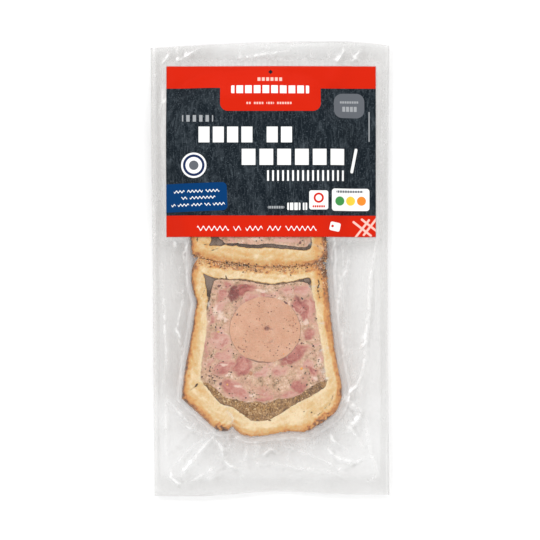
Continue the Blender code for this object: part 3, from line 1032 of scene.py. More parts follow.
@dataclass(frozen=True)
class FilmFinish(Finish):
    """Clear glossy film, hazier and whiter where it is free of the food, with painted highlights and painted
    shade.

    The mesh carries "cling", 1 over the food, "ridge", painted fold light, from -1 in creased valleys and on
    sides turned from the upper left, painted shade, to 1 on crests and sides facing it, painted highlight
    with some whitening of the stretched film, "drop", 1 on a painted bright line where it drops from the food
    and less in painted paler film beyond it and round the label, "grey", 1 where it is painted greyer as
    painted shade, "glint", 1 in its painted glints, and "seal", 1 at the cut edge and less in the welded
    bands.
    """

    name: str = "clear_film"
    glass: float = 1.9

    def build(self, wire: Wiring) -> dict[str, Source]:
        """Haze by place, painted highlights and painted shade on folds and beside the food, and gloss.

        Args:
            wire: the material's tree.
        Returns:
            The shader's inputs by name.
        """
        place, glint, seal = wire.place(), wire.mark("glint"), wire.mark("seal")
        streaks = wire.noise(wire.stretch(place, (1.0, 0.05, 1.0)), 1.3, 3.0, 0.6)
        cloudy = wire.noise(place, 12.0, 3.0, 0.5, 0.6)
        free = wire.math("SUBTRACT", 1.0, wire.mark("cling"), clamp=True)
        # ridge is painted fold light: crest_highlight and valley_shade lay its painted highlight and painted
        # shade, the crests also a little whiter from stretched film
        broken = wire.uneven(wire.mark("ridge"), (wire.noise(place, 1.6, 3.0, 0.6), 0.7))
        crest_highlight, valley_shade = (wire.step(broken, low, high) * free for low, high in ((-0.05, 0.9), (0.0, -0.8)))
        # steep free film is painted whiter, a painted light that covers the shade beneath it
        slope = wire.node("ShaderNodeLayerWeight", {"Blend": 0.3}, "Facing") * free
        # drop: painted highlight and painted paling where the film drops from the food, broken by streaks
        drop = wire.mark("drop") * wire.step(streaks, 0.3, 0.7, 0.7, 1.0) * free
        tint = wire.mix(wire.step(cloudy, 0.25, 0.75), colour(222, 221, 219), colour(238, 238, 237))
        # grey and valley_shade are painted shade; slope, crest_highlight, drop and glint are painted light
        for mask, shade in ((wire.mark("grey") * 0.7, (190, 186, 181)), (seal * 0.9, (176, 175, 173)),
                            (wire.math("MULTIPLY", slope, 2.4, clamp=True), (248, 247, 246)),
                            (crest_highlight, (250, 250, 249)), (valley_shade, (188, 186, 183)), (drop, (250, 249, 248)),
                            (glint, (255, 251, 240))):
            tint = wire.lay(tint, mask, *shade)
        haze = wire.uneven(wire.step(free, 0.0, 1.0, 0.03, 0.15), (streaks, 0.06), (cloudy, 0.06))
        # the painted highlights and painted shade also add haze, so that they show
        haze = haze + crest_highlight * 0.32 + valley_shade * 0.08 + slope * 0.34 + drop * 0.5 + glint * 0.6
        return {"Base Color": tint, "Alpha": wire.math("ADD", haze, seal * 0.26, clamp=True),
                "IOR": self.glass,
                "Roughness": wire.step(cloudy, 0.3, 0.7, 0.16, 0.28), "Normal": wire.bump(streaks, 0.25, 0.2)}


class Ink(Enum):
    """The label's inks, as they look on screen."""

    SLATE = (18, 27, 34)
    CHALK = (88, 97, 104)
    RED = (208, 34, 8)
    BLUE = (0, 57, 110)
    WHITE = (248, 248, 247)
    GREY = (98, 102, 108)
    DUST = (160, 163, 166)
    ROSE = (246, 196, 184)
    LEAF = (70, 150, 80)
    LEMON = (240, 205, 70)
    AMBER = (235, 140, 50)
    NIGHT = (28, 44, 84)


@dataclass(frozen=True)
class Print:
    """One flat printed shape on the label, in millimetres of the pack.

    Pitch above 0 breaks it into blocks that far apart. With a wave as well, it is a line that waves once a
    pitch.
    """

    middle_x: float
    middle_y: float
    half_width: float
    half_height: float
    ink: Ink
    corner: float = 0.4
    turn: float = 0.0
    pitch: float = 0.0
    wave: float = 0.0
    gap_share: float = 0.2

    @classmethod
    def disc(cls, x: float, y: float, radius: float, ink: Ink) -> "Print":
        """A round printed shape."""
        return cls(x, y, radius, radius, ink, radius)

    @classmethod
    def row(cls, x: float, y: float, half_height: float, lengths: Sequence[float], gap: float, ink: Ink,
            pitch: float, turn: float = 0.0, wave: float = 0.0, gap_share: float = 0.2) -> list["Print"]:
        """A row of plain blocks or waving lines in place of words.

        Args:
            x, y: the row's left end and middle height.
            half_height: half the blocks' height.
            lengths: each run's length.
            gap: the space between runs.
            ink: their ink.
            pitch: the blocks' spacing, or the length of a wave.
            turn: the row's slope.
            wave: how far a line waves up and down.
            gap_share: how much of a pitch is gap.
        Returns:
            The shapes.
        """
        made, at = [], 0.0
        for length in lengths:
            middle = at + length / 2
            made.append(cls(x + middle * math.cos(turn), y + middle * math.sin(turn), length / 2, half_height,
                            ink, min(half_height, 0.5), turn, pitch, wave, gap_share))
            at += length + gap
        return made


def label_print() -> list[Print]:
    """Everything printed on the label, from the bottom layer up: fields of colour, blocks, badges and dots.

    Returns:
        The shapes, in the order they are laid.
    """
    disc, row, tilt = Print.disc, Print.row, math.radians(2.2)
    red, white, grey, dust, rose = Ink.RED, Ink.WHITE, Ink.GREY, Ink.DUST, Ink.ROSE
    shapes = [
        Print(0.6, 107, 60, 8, red, 0.1), Print(0.25, 99.8, 27.5, 13.5, red, 4.4),
        Print(0.6, 20.2, 60, 9, red, 0.1), *row(-7.2, 103.9, 1, (14.2,), 0, rose, 2.37, gap_share=0.3),
        *row(-21.2, 98.2, 2.2, (42.6,), 0, white, 4.75),
        *row(-13, 90.6, 0.6, (2.6, 5.6, 4.2, 8.4), 1.4, rose, 1.4, gap_share=0.3),
        Print(0.3, 108, 0.9, 0.9, Ink.SLATE, 0.1, math.radians(45)),
        *row(-48, 82.2, 1.8, (17,), 0, dust, 3.5, gap_share=0.45),
        *row(-39.6, 73.4, 4.3, (30.6, 15.4), 6.4, white, 7.8), *row(-16.2, 61.2, 4.4, (57.5,), 0, white, 9.7),
        *row(-2.4, 51, 2.9, (43.6,), 0, white, 2.73, gap_share=0.6),
        Print(46, 59.2, 0.8, 6.9, white, 0.8, math.radians(-11)), disc(-41.6, 56.6, 6.9, white),
        disc(-41.6, 56.6, 5.9, Ink.NIGHT), disc(-41.6, 56.6, 4.5, white), disc(-41.6, 56.6, 2.6, grey),
        Print(-42.6, 39.1, 19.2, 7.7, Ink.BLUE, 2.6, tilt),
        *row(-52.6, 42, 0.8, (6, 8.6, 7.6), 1.4, white, 2, tilt, 0.5),
        *row(-48.4, 38.6, 0.8, (3.2, 14), 1.4, white, 2, tilt, 0.5),
        *row(-54, 34.6, 0.8, (2.4, 6.2, 6, 3.4, 6.6), 1.2, white, 2, tilt, 0.5),
        *row(-1.2, 33.7, 0.7, (9,), 0, dust, 1.3), *row(9.4, 34.2, 2, (7.2, 2.4), 1.3, white, 2.4),
        Print(26.6, 37.7, 5.2, 5.2, white, 1.2), disc(26.6, 38.9, 2.8, red), disc(26.6, 38.9, 1.7, white),
        *row(23.2, 34.2, 0.6, (6.8,), 0, red, 1.2), Print(44.2, 37.9, 10.4, 6.1, white, 1.6),
        *row(36.2, 42.3, 0.6, (15,), 0, grey, 1.4), disc(38.2, 37.2, 2.5, Ink.LEAF),
        disc(44.2, 37.2, 2.5, Ink.LEMON), disc(50.2, 37.2, 2.5, Ink.AMBER),
        Print(43.4, 89.4, 8.4, 6.8, grey, 4.6),
        *row(38.2, 91.4, 0.6, (10.4,), 0, dust, 1.3), *row(39.4, 87.6, 1.4, (8.4,), 0, dust, 2.1),
        Print(54.4, 78, 0.3, 8.2, dust, 0.2),
        *row(-39.8, 22.2, 1, (17.4, 4.2, 9.4, 7.6, 17), 2.4, white, 3, 0, 1),
        Print(35.6, 23.2, 2.9, 2.4, white, 1, math.radians(-12)), disc(34.2, 23.5, 0.7, red),
    ]
    return shapes + [Print(50.6 + 4.6 * step, 22.0 + 1.4 * step, 0.6, 6.6, rose, 0.5, math.radians(turn))
                     for step in range(2) for turn in (-38, 52)]


@dataclass(frozen=True)
class LabelFinish(Finish):
    """The printed label: a chalky slate field with the flat shapes of its print."""

    name: str = "printed_label"

    def build(self, wire: Wiring) -> dict[str, Source]:
        """The slate, with each printed shape laid over it.

        Args:
            wire: the material's tree.
        Returns:
            The shader's inputs by name.
        """
        place, chalk = wire.place(), Ink.CHALK.value
        smear = wire.noise(wire.stretch(place, (1.0, 0.5, 1.0), 0.7), 5.0, 5.0, 0.7, 0.8)
        scratch = wire.noise(wire.stretch(place, (1.0, 0.12, 1.0), 0.8), 0.8, 3.0, 0.6)
        dust = wire.noise(place, 0.7, 3.0, 0.7)
        shade = wire.lay(colour(*Ink.SLATE.value), wire.step(smear, 0.45, 0.75, 0.0, 0.4), *chalk)
        shade = wire.lay(shade, wire.step(scratch, 0.52, 0.72, 0.0, 0.45), *chalk)
        shade = wire.lay(shade, wire.step(dust, 0.54, 0.72, 0.0, 0.8), *chalk)
        for shape in label_print():
            sizes = {key: value for key, value in vars(shape).items() if key != "ink"}
            shade = wire.lay(shade, wire.group("panel", place, **sizes), *shape.ink.value)
        return {"Base Color": shade, "Roughness": wire.step(dust, 0.3, 0.7, 0.5, 0.6),
                "Specular IOR Level": 0.06, "Normal": wire.bump(wire.noise(place, 9.0, 2.0), 0.15, 0.3)}


@dataclass(frozen=True)
class FloorFinish(Finish):
    """A plain pale table."""

    name: str = "pale_table"

    def build(self, wire: Wiring) -> dict[str, Source]:
        """A matte near-white with the faintest grain.

        Args:
            wire: the material's tree.
        Returns:
            The shader's inputs by name.
        """
        grain = wire.noise(wire.place(), 40.0, 2.0)
        return {"Base Color": wire.mix(grain, (0.92, 0.92, 0.92, 1.0), (0.94, 0.94, 0.94, 1.0)),
                "Roughness": wire.step(grain, 0.0, 1.0, 0.8, 0.9), "Specular IOR Level": 0.1}


class Layer(Enum):
    """The layers of a slice, from its middle outwards."""

    MOUSSE = 0
    FORCEMEAT = 1
    JELLY = 2
    CRUST = 3


@dataclass(frozen=True)
class Morsel:
    """A piece in the cut: where it lies in its slice, its half sizes, its slope in degrees and its shade."""

    across: float
    up: float
    half_long: float
    half_short: float
    slope: float
    shade: float

    @classmethod
    def rows(cls, *rows: tuple) -> tuple["Morsel", ...]:
        """Pieces from rows of numbers."""
        return tuple(cls(*numbers) for numbers in rows)


@dataclass(frozen=True)
class Place:
    """Points of one layer of a slice: their places, their radii, and the radii of the layer's edges there."""

    across: Array
    up: Array
    radius: Array
    inner: Array
    outer: Array

    @property
    def from_inner(self) -> Array:
        """Distance outside the layer's inner edge."""
        return np.maximum(self.radius - self.inner, 0.0)

    @property
    def depth(self) -> Array:
        """Distance inside its outer edge."""
        return np.maximum(self.outer - self.radius, 0.0)

    @property
    def thick(self) -> Array:
        """Its thickness."""
        return self.outer - self.inner


@dataclass(frozen=True)
class Edges:
    """The lines that bound a slice's cavity and forcemeat, and its dark base line's greatest thickness."""

    cavity: tuple
    forcemeat: tuple
    line_limit: float


CAVITY_SIDES = (
    (29.7, 21.8), (30.5, 29), (31.7, 35.7), (32.9, 42), (34, 48.9), (35.1, 57.5), (35.7, 65.3), (32.9, 68.4),
    (27.8, 71.8), (19.2, 75.9), (13.5, 79.9), (7.7, 83.3), (1.9, 85.4), (-3.8, 85.4), (-7.2, 83.9),
    (-11.3, 80.5),
    (-16.5, 77.6), (-21.1, 76.5), (-25.1, 72.4), (-29.7, 67.2), (-32.8, 63.3), (-33.1, 61.5), (-32.2, 55.8),
    (-31.7, 50), (-30.2, 42), (-29.3, 32.9), (-30, 26.6),
)
FORCEMEAT_SIDES = (
    (29.6, 21.8), (30.4, 29), (31.6, 35.7), (32.8, 42), (33.9, 48.9), (34.9, 57.5), (34.9, 63.4),
    (31.8, 64.4),
    (27.8, 66.7), (22, 70.7), (16.3, 73), (8.8, 73.6), (3.1, 75.9), (-1.5, 74.7), (-8.4, 75.3), (-14.2, 73.6),
    (-19.3, 72.4), (-22.7, 69.5), (-26.8, 66.1), (-31.7, 63.1), (-32.6, 60.9), (-32.1, 55.8), (-31.6, 50),
    (-30.1, 42), (-29.2, 32.9), (-29.3, 27.9),
)
LOWER_EDGES = Edges(
    ((-29.4, 23.2), (-29, 19), (-29.6, 13.2), (-30.6, 7.4), (-31.6, 4.8), (-28, 6.5), (-24.4, 7.3),
     (-19.6, 8), (-10.7, 8), (-5.1, 8.8), (0.5, 9.9), (6, 10.5), (11.6, 9.9), (17.2, 9.1), (22.7, 8),
     (27.2, 7.7), (27.8, 12.3), (28.3, 17.2)) + CAVITY_SIDES,
    ((-28.7, 23.6), (-28, 20.5), (-27.2, 17), (-26.3, 12.4), (-25.2, 9), (-22.6, 8.4), (-16.2, 8.5),
     (-10.2, 8.9), (-3.4, 10), (3.2, 11.1), (8.8, 11.2), (14.4, 10.4), (19.9, 9.5), (24, 9.8), (27, 12.4),
     (28.3, 17.2)) + FORCEMEAT_SIDES, 1.7,
)
UPPER_EDGES = Edges(
    ((-28.9, 21.8), (-28.9, 16), (-29.2, 11), (-28, 8.4), (-25, 7.8), (-22, 7.9), (-17.3, 8.3),
     (-11, 8.8), (-6.4, 9.2), (-2, 9), (1.8, 8.9), (7.5, 9.3), (12.7, 10), (17, 10.5), (20.5, 10.2),
     (24, 10.2), (26.6, 10.4), (25.6, 13.4), (26.4, 16), (27.8, 19)) + CAVITY_SIDES,
    ((-28.6, 20), (-28.6, 14), (-28.3, 11.6), (-25.5, 9.3), (-21, 9.6), (-17.3, 10.2), (-11, 10.9),
     (-6.4, 11.3), (-2, 10.9), (1.8, 10.8), (7.5, 11.3), (12.7, 11.6), (17, 11.5), (18.8, 12), (21.4, 14.6),
     (25, 18.4)) + FORCEMEAT_SIDES, 0.9,
)
HAM_PIECES = Morsel.rows(
    (-14.6, 16.6, 5.2, 3.7, 65, 1), (-9.8, 14.6, 6.8, 4.2, 32, 0.74), (-19, 12.3, 2.4, 2.2, 0, 0.5),
    (-20.7, 17.3, 3.4, 2.7, 0, 0.45), (-20.7, 22, 3.9, 2.4, 10, 0.2), (-5.5, 19.4, 8.2, 2.2, 30, 0.25),
    (4.4, 15.9, 5.2, 1.6, 0, 0.35), (23.4, 24.8, 7.4, 4.2, -50, 0.6), (28.2, 24.3, 5.8, 2.3, -75, 0.42),
    (26.4, 36.6, 3.6, 3.3, 0, 0.55), (-27.7, 28.7, 5.6, 1.6, 80, 0.4), (-22.2, 41.4, 6.2, 4, 10, 0.25),
    (-20.1, 49.4, 5.2, 3, 0, 0.22), (-19.1, 56.3, 6.4, 4.2, 20, 0.42), (-10.4, 55.2, 5.4, 3.8, 60, 0.55),
    (-13, 68, 9, 4.2, -32, 0.36), (-0.9, 59.8, 4.4, 3.2, 0, 0.2), (1.9, 72.9, 4.6, 2, 5, 0.38),
    (9.4, 58.6, 5.6, 3.2, 20, 0.24), (18.6, 49.7, 10, 3.2, 33, 0.6), (21.7, 65.6, 4.6, 3.6, 45, 0.6),
    (28.2, 60, 4.4, 2.4, -30, 0.5), (26.1, 55.8, 3.6, 3, 0, 0.22), (31.8, 50, 1.8, 3.6, 0, 0.15),
    (16.3, 71, 6.2, 1.9, 12, 0.3), (-29.5, 45.4, 5.2, 1.3, 85, 0.4), (15.2, 15, 5.8, 2.6, -15, 0.16),
    (23.4, 15.4, 3.6, 2.8, 15, 0.28), (-26.5, 51.8, 3, 1.6, 70, 0.28),
)
MIRRORED_FROM = 23.0
UPPER_HAM_PIECES = tuple(
    Morsel(-piece.across, piece.up, piece.half_long, piece.half_short, -piece.slope, piece.shade)
    for piece in HAM_PIECES if piece.up > MIRRORED_FROM) + Morsel.rows((-15, 14.5, 9, 2.6, -8, 0.05))
FAT_SPOTS = tuple(Spot(*numbers) for numbers in (
    (-24.6, 24.6, 1.6, 3.4), (-21.8, 28.3, 2, 2.8), (-19, 30.4, 1.4, 1.6), (0.5, 14.2, 3.4, 1.1),
    (29.8, 62.5, 1.6, 1.3), (31.6, 53.4, 1.2, 2.4), (-17.6, 60.6, 2.6, 0.9), (-12.4, 66.8, 2.8, 0.9),
    (-4.6, 72, 2.2, 0.9), (24.4, 31.6, 1.6, 1.8), (-20, 54.6, 2.4, 0.8),
))
DICED_BITS = Morsel.rows(
    (22.3, 56.9, 0.9, 0.7, 20, 0.9), (-18.2, 65.6, 0.6, 0.5, 0, 0.85), (12.6, 48.9, 0.45, 0.35, 0, 0.95),
    (-5.3, 59.5, 1.3, 1, 80, 0.5), (-22.9, 11.8, 0.9, 0.75, 30, 0.35), (-27.9, 58.1, 0.55, 0.4, 30, 0.15),
    (-27.9, 60.9, 0.6, 0.45, 0, 0.2), (-26.2, 61.8, 0.55, 0.4, 60, 0.1), (-25.1, 63.5, 0.8, 0.5, -20, 0.25),
    (-21.9, 65.3, 1.1, 0.75, 60, 0.3), (-32, 61.4, 0.6, 0.5, 0, 0.1), (-27.4, 56, 0.5, 0.4, 0, 0.1),
    (-16.2, 58.9, 0.7, 0.3, -30, 0.1), (-8.1, 72.8, 0.6, 0.5, 0, 0.25), (16.9, 55.8, 0.55, 0.45, 0, 0.1),
    (28.7, 44.5, 0.6, 0.5, 20, 0.05), (21.2, 41.1, 0.6, 0.4, 0, 0.1), (22.3, 43.1, 0.7, 0.5, 40, 0.3),
    (-24.6, 34.2, 0.6, 0.4, 80, 0.1), (-22, 34.6, 0.6, 0.45, 60, 0.15), (-21.4, 37.4, 0.5, 0.4, 0, 0.1),
    (-23, 36.8, 0.7, 0.5, 0, 0.75), (-12.8, 27.4, 0.8, 0.4, 60, 0.15), (13.6, 20.8, 1.3, 0.5, -35, 0.3),
    (22.6, 18.6, 0.9, 0.45, -50, 0.1), (17.3, 22.6, 0.5, 0.35, -60, 0.1), (30.4, 29.6, 0.5, 0.4, 0, 0.1),
    (6, 17, 0.4, 0.3, 0, 0.2), (-9.2, 47.6, 0.5, 0.3, 30, 0.1), (-17.6, 47.3, 0.4, 0.3, 0, 0.1),
)
LOWER_CRACKS = Trace.rows(
    (0.5, 0.7, (31.4, 8.4), (31.9, 10.4), (31, 13.4), (31.5, 15.6), (32.4, 18.4)),
    (0.6, 1.2, (-19.6, -0.6), (-15, -0.1), (-10, 0.6), (-6.6, 0.9)), (0.28, 0.5, (31.4, 12.4), (28.6, 12.2)),
    (0.28, 0.5, (31.6, 14.4), (34, 14.6)), (0.3, 0.7, (-30.2, 12.8), (-31.4, 16.2), (-32.6, 17.8)),
    (0.5, 0.9, (-35.6, 66.3), (-34.4, 65.2)), (0.32, 0.8, (24.2, 83.2), (26.2, 81.9), (28.2, 80.7)),
    (0.25, 0.5, (26, 83.6), (29.4, 81.4)), (0.4, 0.9, (22.9, 80.5), (23.8, 80.2)),
    (0.35, 0.7, (30.4, 83), (33.4, 80.4), (36.2, 77.3)),
    (0.35, 0.7, (36.4, 78.6), (38.6, 74.4), (39.6, 71.4)),
    (0.3, 0.5, (-41.4, 70.6), (-34.6, 66.2)), (0.35, 0.8, (-19.2, 6.2), (-18.4, 8)),
    (0.4, 0.9, (-22.4, 7.6), (-17.2, 8.4)), (0.35, 0.5, (-36.8, 8), (-36.4, 13), (-35.6, 17)),
)
UPPER_CRACKS = Trace.rows((0.4, 0.8, (33.4, 12.8), (33, 16)), (0.35, 0.7, (26.6, 10.6), (29.6, 10.9)),
                          (0.3, 0.7, (22, 8.6), (26, 7.4)), (0.5, 1.1, (18, 1.2), (12, 0.3), (6, -0.4)))
PITS = (Spot(5.4, 35.3, 1.2, 0.35, 0.7), *Trace.rows((0.45, 0.55, (-12.2, 45.2), (-10.9, 46.2), (-9, 46.6)),
                                                     (0.5, 0.5, (4.6, 42.9), (5.6, 42.6), (6.4, 41.6))))
BURNT_SPOTS = (
    (-22.7, 88.6, 2.6, 0.7), (-19.4, 89.6, 1.8, 0.6), (31.3, 87.1, 3.2, 0.75), (36.2, 83.6, 3, 0.75),
    (26.4, 89.4, 2.2, 0.6), (-36.4, 2.2, 2.4, 0.6), (-41.6, 72, 1.6, 0.4), (14.5, 91.2, 1.6, 0.4),
    (34, 4, 3, 0.5), (43, 70, 1.8, 0.4), (-36.6, 20.8, 1.6, 0.6), (-30.5, 84.8, 3, 0.4),
)


@dataclass(frozen=True)
class SliceForm:
    """Where the layers of one slice lie, and how their cut faces rise and look.

    A layer's edges are kept as radii round the middle of the mousse, at the same angles for every edge.
    """

    pack: PackForm
    towards: int
    seed: int
    lines: Edges
    seam_brown: float
    cracks: tuple
    pieces: tuple
    browned: float = 0.0
    mousse_middle: tuple[float, float] = (2.4, 35.7)
    mousse_half: tuple[float, float] = (19.5, 18.1)
    clear_of_film: float = 0.1
    clear_of_seam: float = 0.02
    least_jelly: float = 0.2
    least_crust: float = 1.2
    base_points: int = 48
    scraps: int = 14
    scrap_ranges: tuple = ((-28, 31), (14, 72), (1.6, 3.0), (1.0, 2.0), (-80, 80), (0.05, 0.3))
    angle_count: int = 720

    @cached_property
    def noise(self) -> Noise:
        """The slice's own unevenness."""
        return Noise(self.seed)

    def to_pack(self, across: Array, up: Array) -> tuple[Array, Array]:
        """The slice's millimetres as the pack's."""
        middle, datum = self.pack.slice_x[self.towards], self.pack.seam_datum
        return middle - self.towards * across, datum + self.towards * up

    def polar(self, across: Array, up: Array) -> tuple[Array, Array]:
        """Angle and radius round the middle of the mousse."""
        dx, dy = across - self.mousse_middle[0], up - self.mousse_middle[1]
        return np.arctan2(dy, dx), np.hypot(dx, dy)

    def around(self, radius: Array, angle: Array) -> tuple[Array, Array]:
        """Points of the slice at a radius and an angle round the middle of the mousse."""
        return self.mousse_middle[0] + radius * np.cos(angle), self.mousse_middle[1] + radius * np.sin(angle)

    @cached_property
    def outline(self) -> Array:
        """The slice's outline at even steps, in its own millimetres.

        Returns:
            The points, one a row.
        """
        x, y = self.pack.slice_outline(self.towards, self.base_points).T
        raw = rows_of((self.pack.slice_x[self.towards] - x) * self.towards,
                      (y - self.pack.seam_datum) * self.towards)
        closed = np.vstack([raw, raw[:1]])
        run = np.concatenate([[0.0], np.cumsum(np.hypot(*np.diff(closed, axis=0).T))])
        at = np.linspace(0.0, run[-1], self.angle_count, endpoint=False)
        return rows_of(*(np.interp(at, run, values) for values in closed.T))

    @cached_property
    def angles(self) -> Array:
        """The angles of the edges' points, closest where the outline is farthest."""
        return np.sort(self.polar(*self.outline.T)[0])

    @cached_property
    def edges(self) -> Array:
        """Radii at each angle of the mousse's, the forcemeat's, the cavity's and the crust's outer edge.

        Returns:
            The radii, a row for each edge.
        """
        n, a = self.noise, self.angles
        half_width, half_height = self.mousse_half
        mousse = half_width * half_height / np.hypot(half_height * np.cos(a), half_width * np.sin(a))
        lines = (spline(self.lines.forcemeat, 8, closed=True), spline(self.lines.cavity, 8, closed=True),
                 self.outline)
        meat, cavity, outer = (np.interp(a, *self.polar(*line.T), period=TURN) for line in lines)
        edges = [radius + depth * (n.rough(radius * np.cos(a) + shift, radius * np.sin(a), size) - 0.5) * 2.0
                 for radius, depth, size, shift in ((mousse, 0.35, 3.0, 0), (meat, 0.6, 2.0, 40),
                                                    (cavity, 0.6, 2.2, 80))]
        x, y = outer * np.cos(a), outer * np.sin(a)
        up = self.mousse_middle[1] + y
        inset = self.clear_of_seam + (self.clear_of_film - self.clear_of_seam) * smooth(up, 2.0, 5.0)
        ragged = 1.2 * np.clip(n.rough(x, y + 90.0, 1.8) - 0.36, 0.0, 1.0) + 0.5 * np.clip(
            n.rough(x, y + 30.0, 6.0, 2) - 0.55, 0.0, 1.0)
        edges.append(outer - inset - ragged * (0.12 + 0.88 * smooth(up, 1.0, 3.0)))
        edges[2] = np.minimum(np.maximum(edges[2], edges[1] + self.least_jelly), edges[3] - self.least_crust)
        edges[1] = np.minimum(edges[1], edges[2] - self.least_jelly)
        return np.stack(edges)

    def place(self, layer: Layer, across: Array, up: Array) -> Place:
        """Any points of the slice as places of a layer.

        Args:
            layer: which layer.
            across, up: the points.
        Returns:
            The places.
        """
        angle, radius = self.polar(across, up)
        inner, outer = (np.interp(np.ravel(angle), self.angles, edge, period=TURN).reshape(np.shape(angle))
                        for edge in (self.edges[layer.value - 1], self.edges[layer.value]))
        return Place(across, up, radius, inner if layer.value else 0.0 * radius, outer)

    def from_seam(self, at: Place) -> Array:
        """Distance from the line where the two slices meet, along the pack."""
        x, y = self.to_pack(at.across, at.up)
        return (y - self.pack.seam_y(x)) * self.towards

    def face(self, layer: Layer, at: Place, above: float = 0.0) -> tuple[Array, Array, Array]:
        """A layer's cut face.

        Args:
            layer: which layer.
            at: the points.
            above: how far over the face.
        Returns:
            The points of the pack.
        """
        x, y = self.to_pack(at.across, at.up)
        cut = np.minimum(self.pack.film_top(x, y) - self.pack.film_over_slice, self.pack.slice_thickness)
        return x, y, cut + self.relief(layer, at) + above

    def relief(self, layer: Layer, at: Place) -> Array:
        """How far a layer's cut face stands above or below the even cut.

        Args:
            layer: which layer.
            at: the points.
        Returns:
            The heights.
        """
        n, across, up = self.noise, at.across, at.up
        from_edges = np.minimum(at.from_inner, at.depth)
        if layer is Layer.CRUST:
            dome = 0.2 * np.sin(np.pi * np.clip(at.from_inner / np.maximum(at.thick, 0.1), 0.0, 1.0))
            pits = -(0.14 + 0.4 * self.bake(at)) * np.clip(1.25 - 2.0 * n.rough(across, up, 1.5, 4), 0.0, 1.0)
            edge = -0.4 * np.exp(-at.depth / 0.5) * (0.25 + 0.75 * smooth(self.from_seam(at), 1.0, 2.0))
            swell = 0.3 * (n.rough(across, up + 20, 6.0, 2) - 0.5)
            return ((dome + pits + swell) * smooth(at.from_inner, 0.0, 0.8) + edge - 0.15
                    - 0.5 * self.crack(at))
        if layer is Layer.JELLY:
            wide = smooth(at.thick, 0.5, 1.2) * smooth(from_edges, 0.0, 0.5)
            lumps = (0.8 * n.rough(across, up, 1.6, 3) - 0.4) * (1.0 - self.pocket(at))
            return (lumps - 0.25) * wide - 0.15 - 0.15 * self.base_line(at) * (1.0 - wide)
        if layer is Layer.FORCEMEAT:
            lumps = 0.26 * (n.rough(across, up, 3.0, 4) - 0.5)
            lumps = lumps + 0.08 * np.clip(self.ham(at)["ham"], -0.3, 0.3)
            return lumps * smooth(from_edges, 0.0, 0.6) - 0.15
        fine = 0.07 * (n.rough(across, up, 4.0, 3) - 0.5) * smooth(at.depth, 0.0, 0.6)
        return fine - 0.15 - 1.2 * self.pit(at)

    def marks(self, layer: Layer, at: Place) -> dict[str, Array]:
        """What the finishes of the three ring-shaped layers read.

        Args:
            layer: which layer.
            at: the points.
        Returns:
            The attributes by name.
        """
        if layer is Layer.CRUST:
            return {"bake": self.bake(at), "crack": self.crack(at)}
        if layer is Layer.FORCEMEAT:
            return {**self.ham(at), "fat": self.fat(at)}
        base, walls = self.base_line(at), np.minimum(at.radius - at.inner, at.outer - at.radius)
        # deep: painted shade at the pocket's walls, further from the base and where it is thin; painted grey
        # reflection in its middle
        deep = smooth(walls, -0.8, 1.8) * (1.0 - 0.65 * smooth(at.up, 9.0, 12.0))
        dark = np.maximum(smooth(-self.towards * at.across, 8.0, 14.0), 0.9 * np.exp(-at.depth / 1.2))
        return {"pocket": self.pocket(at), "line": fade(at.thick, self.lines.line_limit, 0.5) * base,
                "deep": deep * (0.4 + 0.6 * smooth(at.thick, 1.2, 2.5)),
                "thin": fade(at.thick, 0.5, 0.9) * (1.0 - base), "dark": dark}

    def base_line(self, at: Place) -> Array:
        """1 where the jelly is a dark line along the base crust, falling to 0 up the sides."""
        left = self.towards * at.across
        return fade(at.up, 12.5 + 10.0 * smooth(left, 22.0, 4.0) - 2.0 * smooth(-left, 20.0, 4.0), 3.5)

    def pocket(self, at: Place) -> Array:
        """1 in the glassy jelly near the base, 0 in the chopped jelly under the crown."""
        return fade(at.up, 45.0, 10.0)

    def pit(self, at: Place) -> Array:
        """Depth of the mousse's pit and dents, from 0 to 1."""
        hole = np.exp(-Spot(3.4, 35.0, 1.6, 1.25).away(at.across, at.up) ** 1.8)
        return np.clip(np.maximum.reduce([hole, *(mark.share(at.across, at.up) for mark in PITS)]), 0.0, 1.0)

    def ham(self, at: Place) -> dict[str, Array]:
        """How far each point is inside a piece of ham, that piece's tone and the streaks along it.

        Args:
            at: places in the slice.
        Returns:
            Those three attributes by name.
        """
        n, across, up = self.noise, at.across, at.up
        a, b = across, up
        for size, reach, shift in ((7.0, 2.2, 0.0), (3.0, 1.0, 70.0), (1.3, 0.5, 140.0)):
            a = a + 2.0 * reach * (n.soft(across + shift, up, size) - 0.5)
            b = b + 2.0 * reach * (n.soft(across, up + 50.0 + shift, size) - 0.5)
        best, tone, fibre = (np.full(np.shape(across), value) for value in (-2.0, 0.3, 0.5))
        for piece in self.ham_pieces:
            cosine, sine = math.cos(math.radians(piece.slope)), math.sin(math.radians(piece.slope))
            da, db = a - piece.across, piece.up - b
            u, v = da * cosine + db * sine, db * cosine - da * sine
            reach = np.hypot(u / piece.half_long, v / piece.half_short)
            inside = (1.0 - reach) * min(piece.half_long, piece.half_short)
            chosen = inside > best
            best = np.where(chosen, inside, best)
            tone = np.where(chosen, piece.shade - 0.14 * np.clip(u / piece.half_long, -1.0, 1.0), tone)
            fibre = np.where(chosen, n.rough(u * 0.22 + piece.up, v, 1.2, 3), fibre)
        return {"ham": np.clip(best, -1.6, 1.6), "tone": tone, "fibre": fibre}

    @cached_property
    def ham_pieces(self) -> tuple[Morsel, ...]:
        """The large pieces seen in the cut, and a few faint scraps between them.

        Returns:
            The pieces.
        """
        rng = np.random.default_rng(self.seed + 1)
        return self.pieces + tuple(Morsel(*(rng.uniform(*span) for span in self.scrap_ranges))
                                   for _ in range(self.scraps))

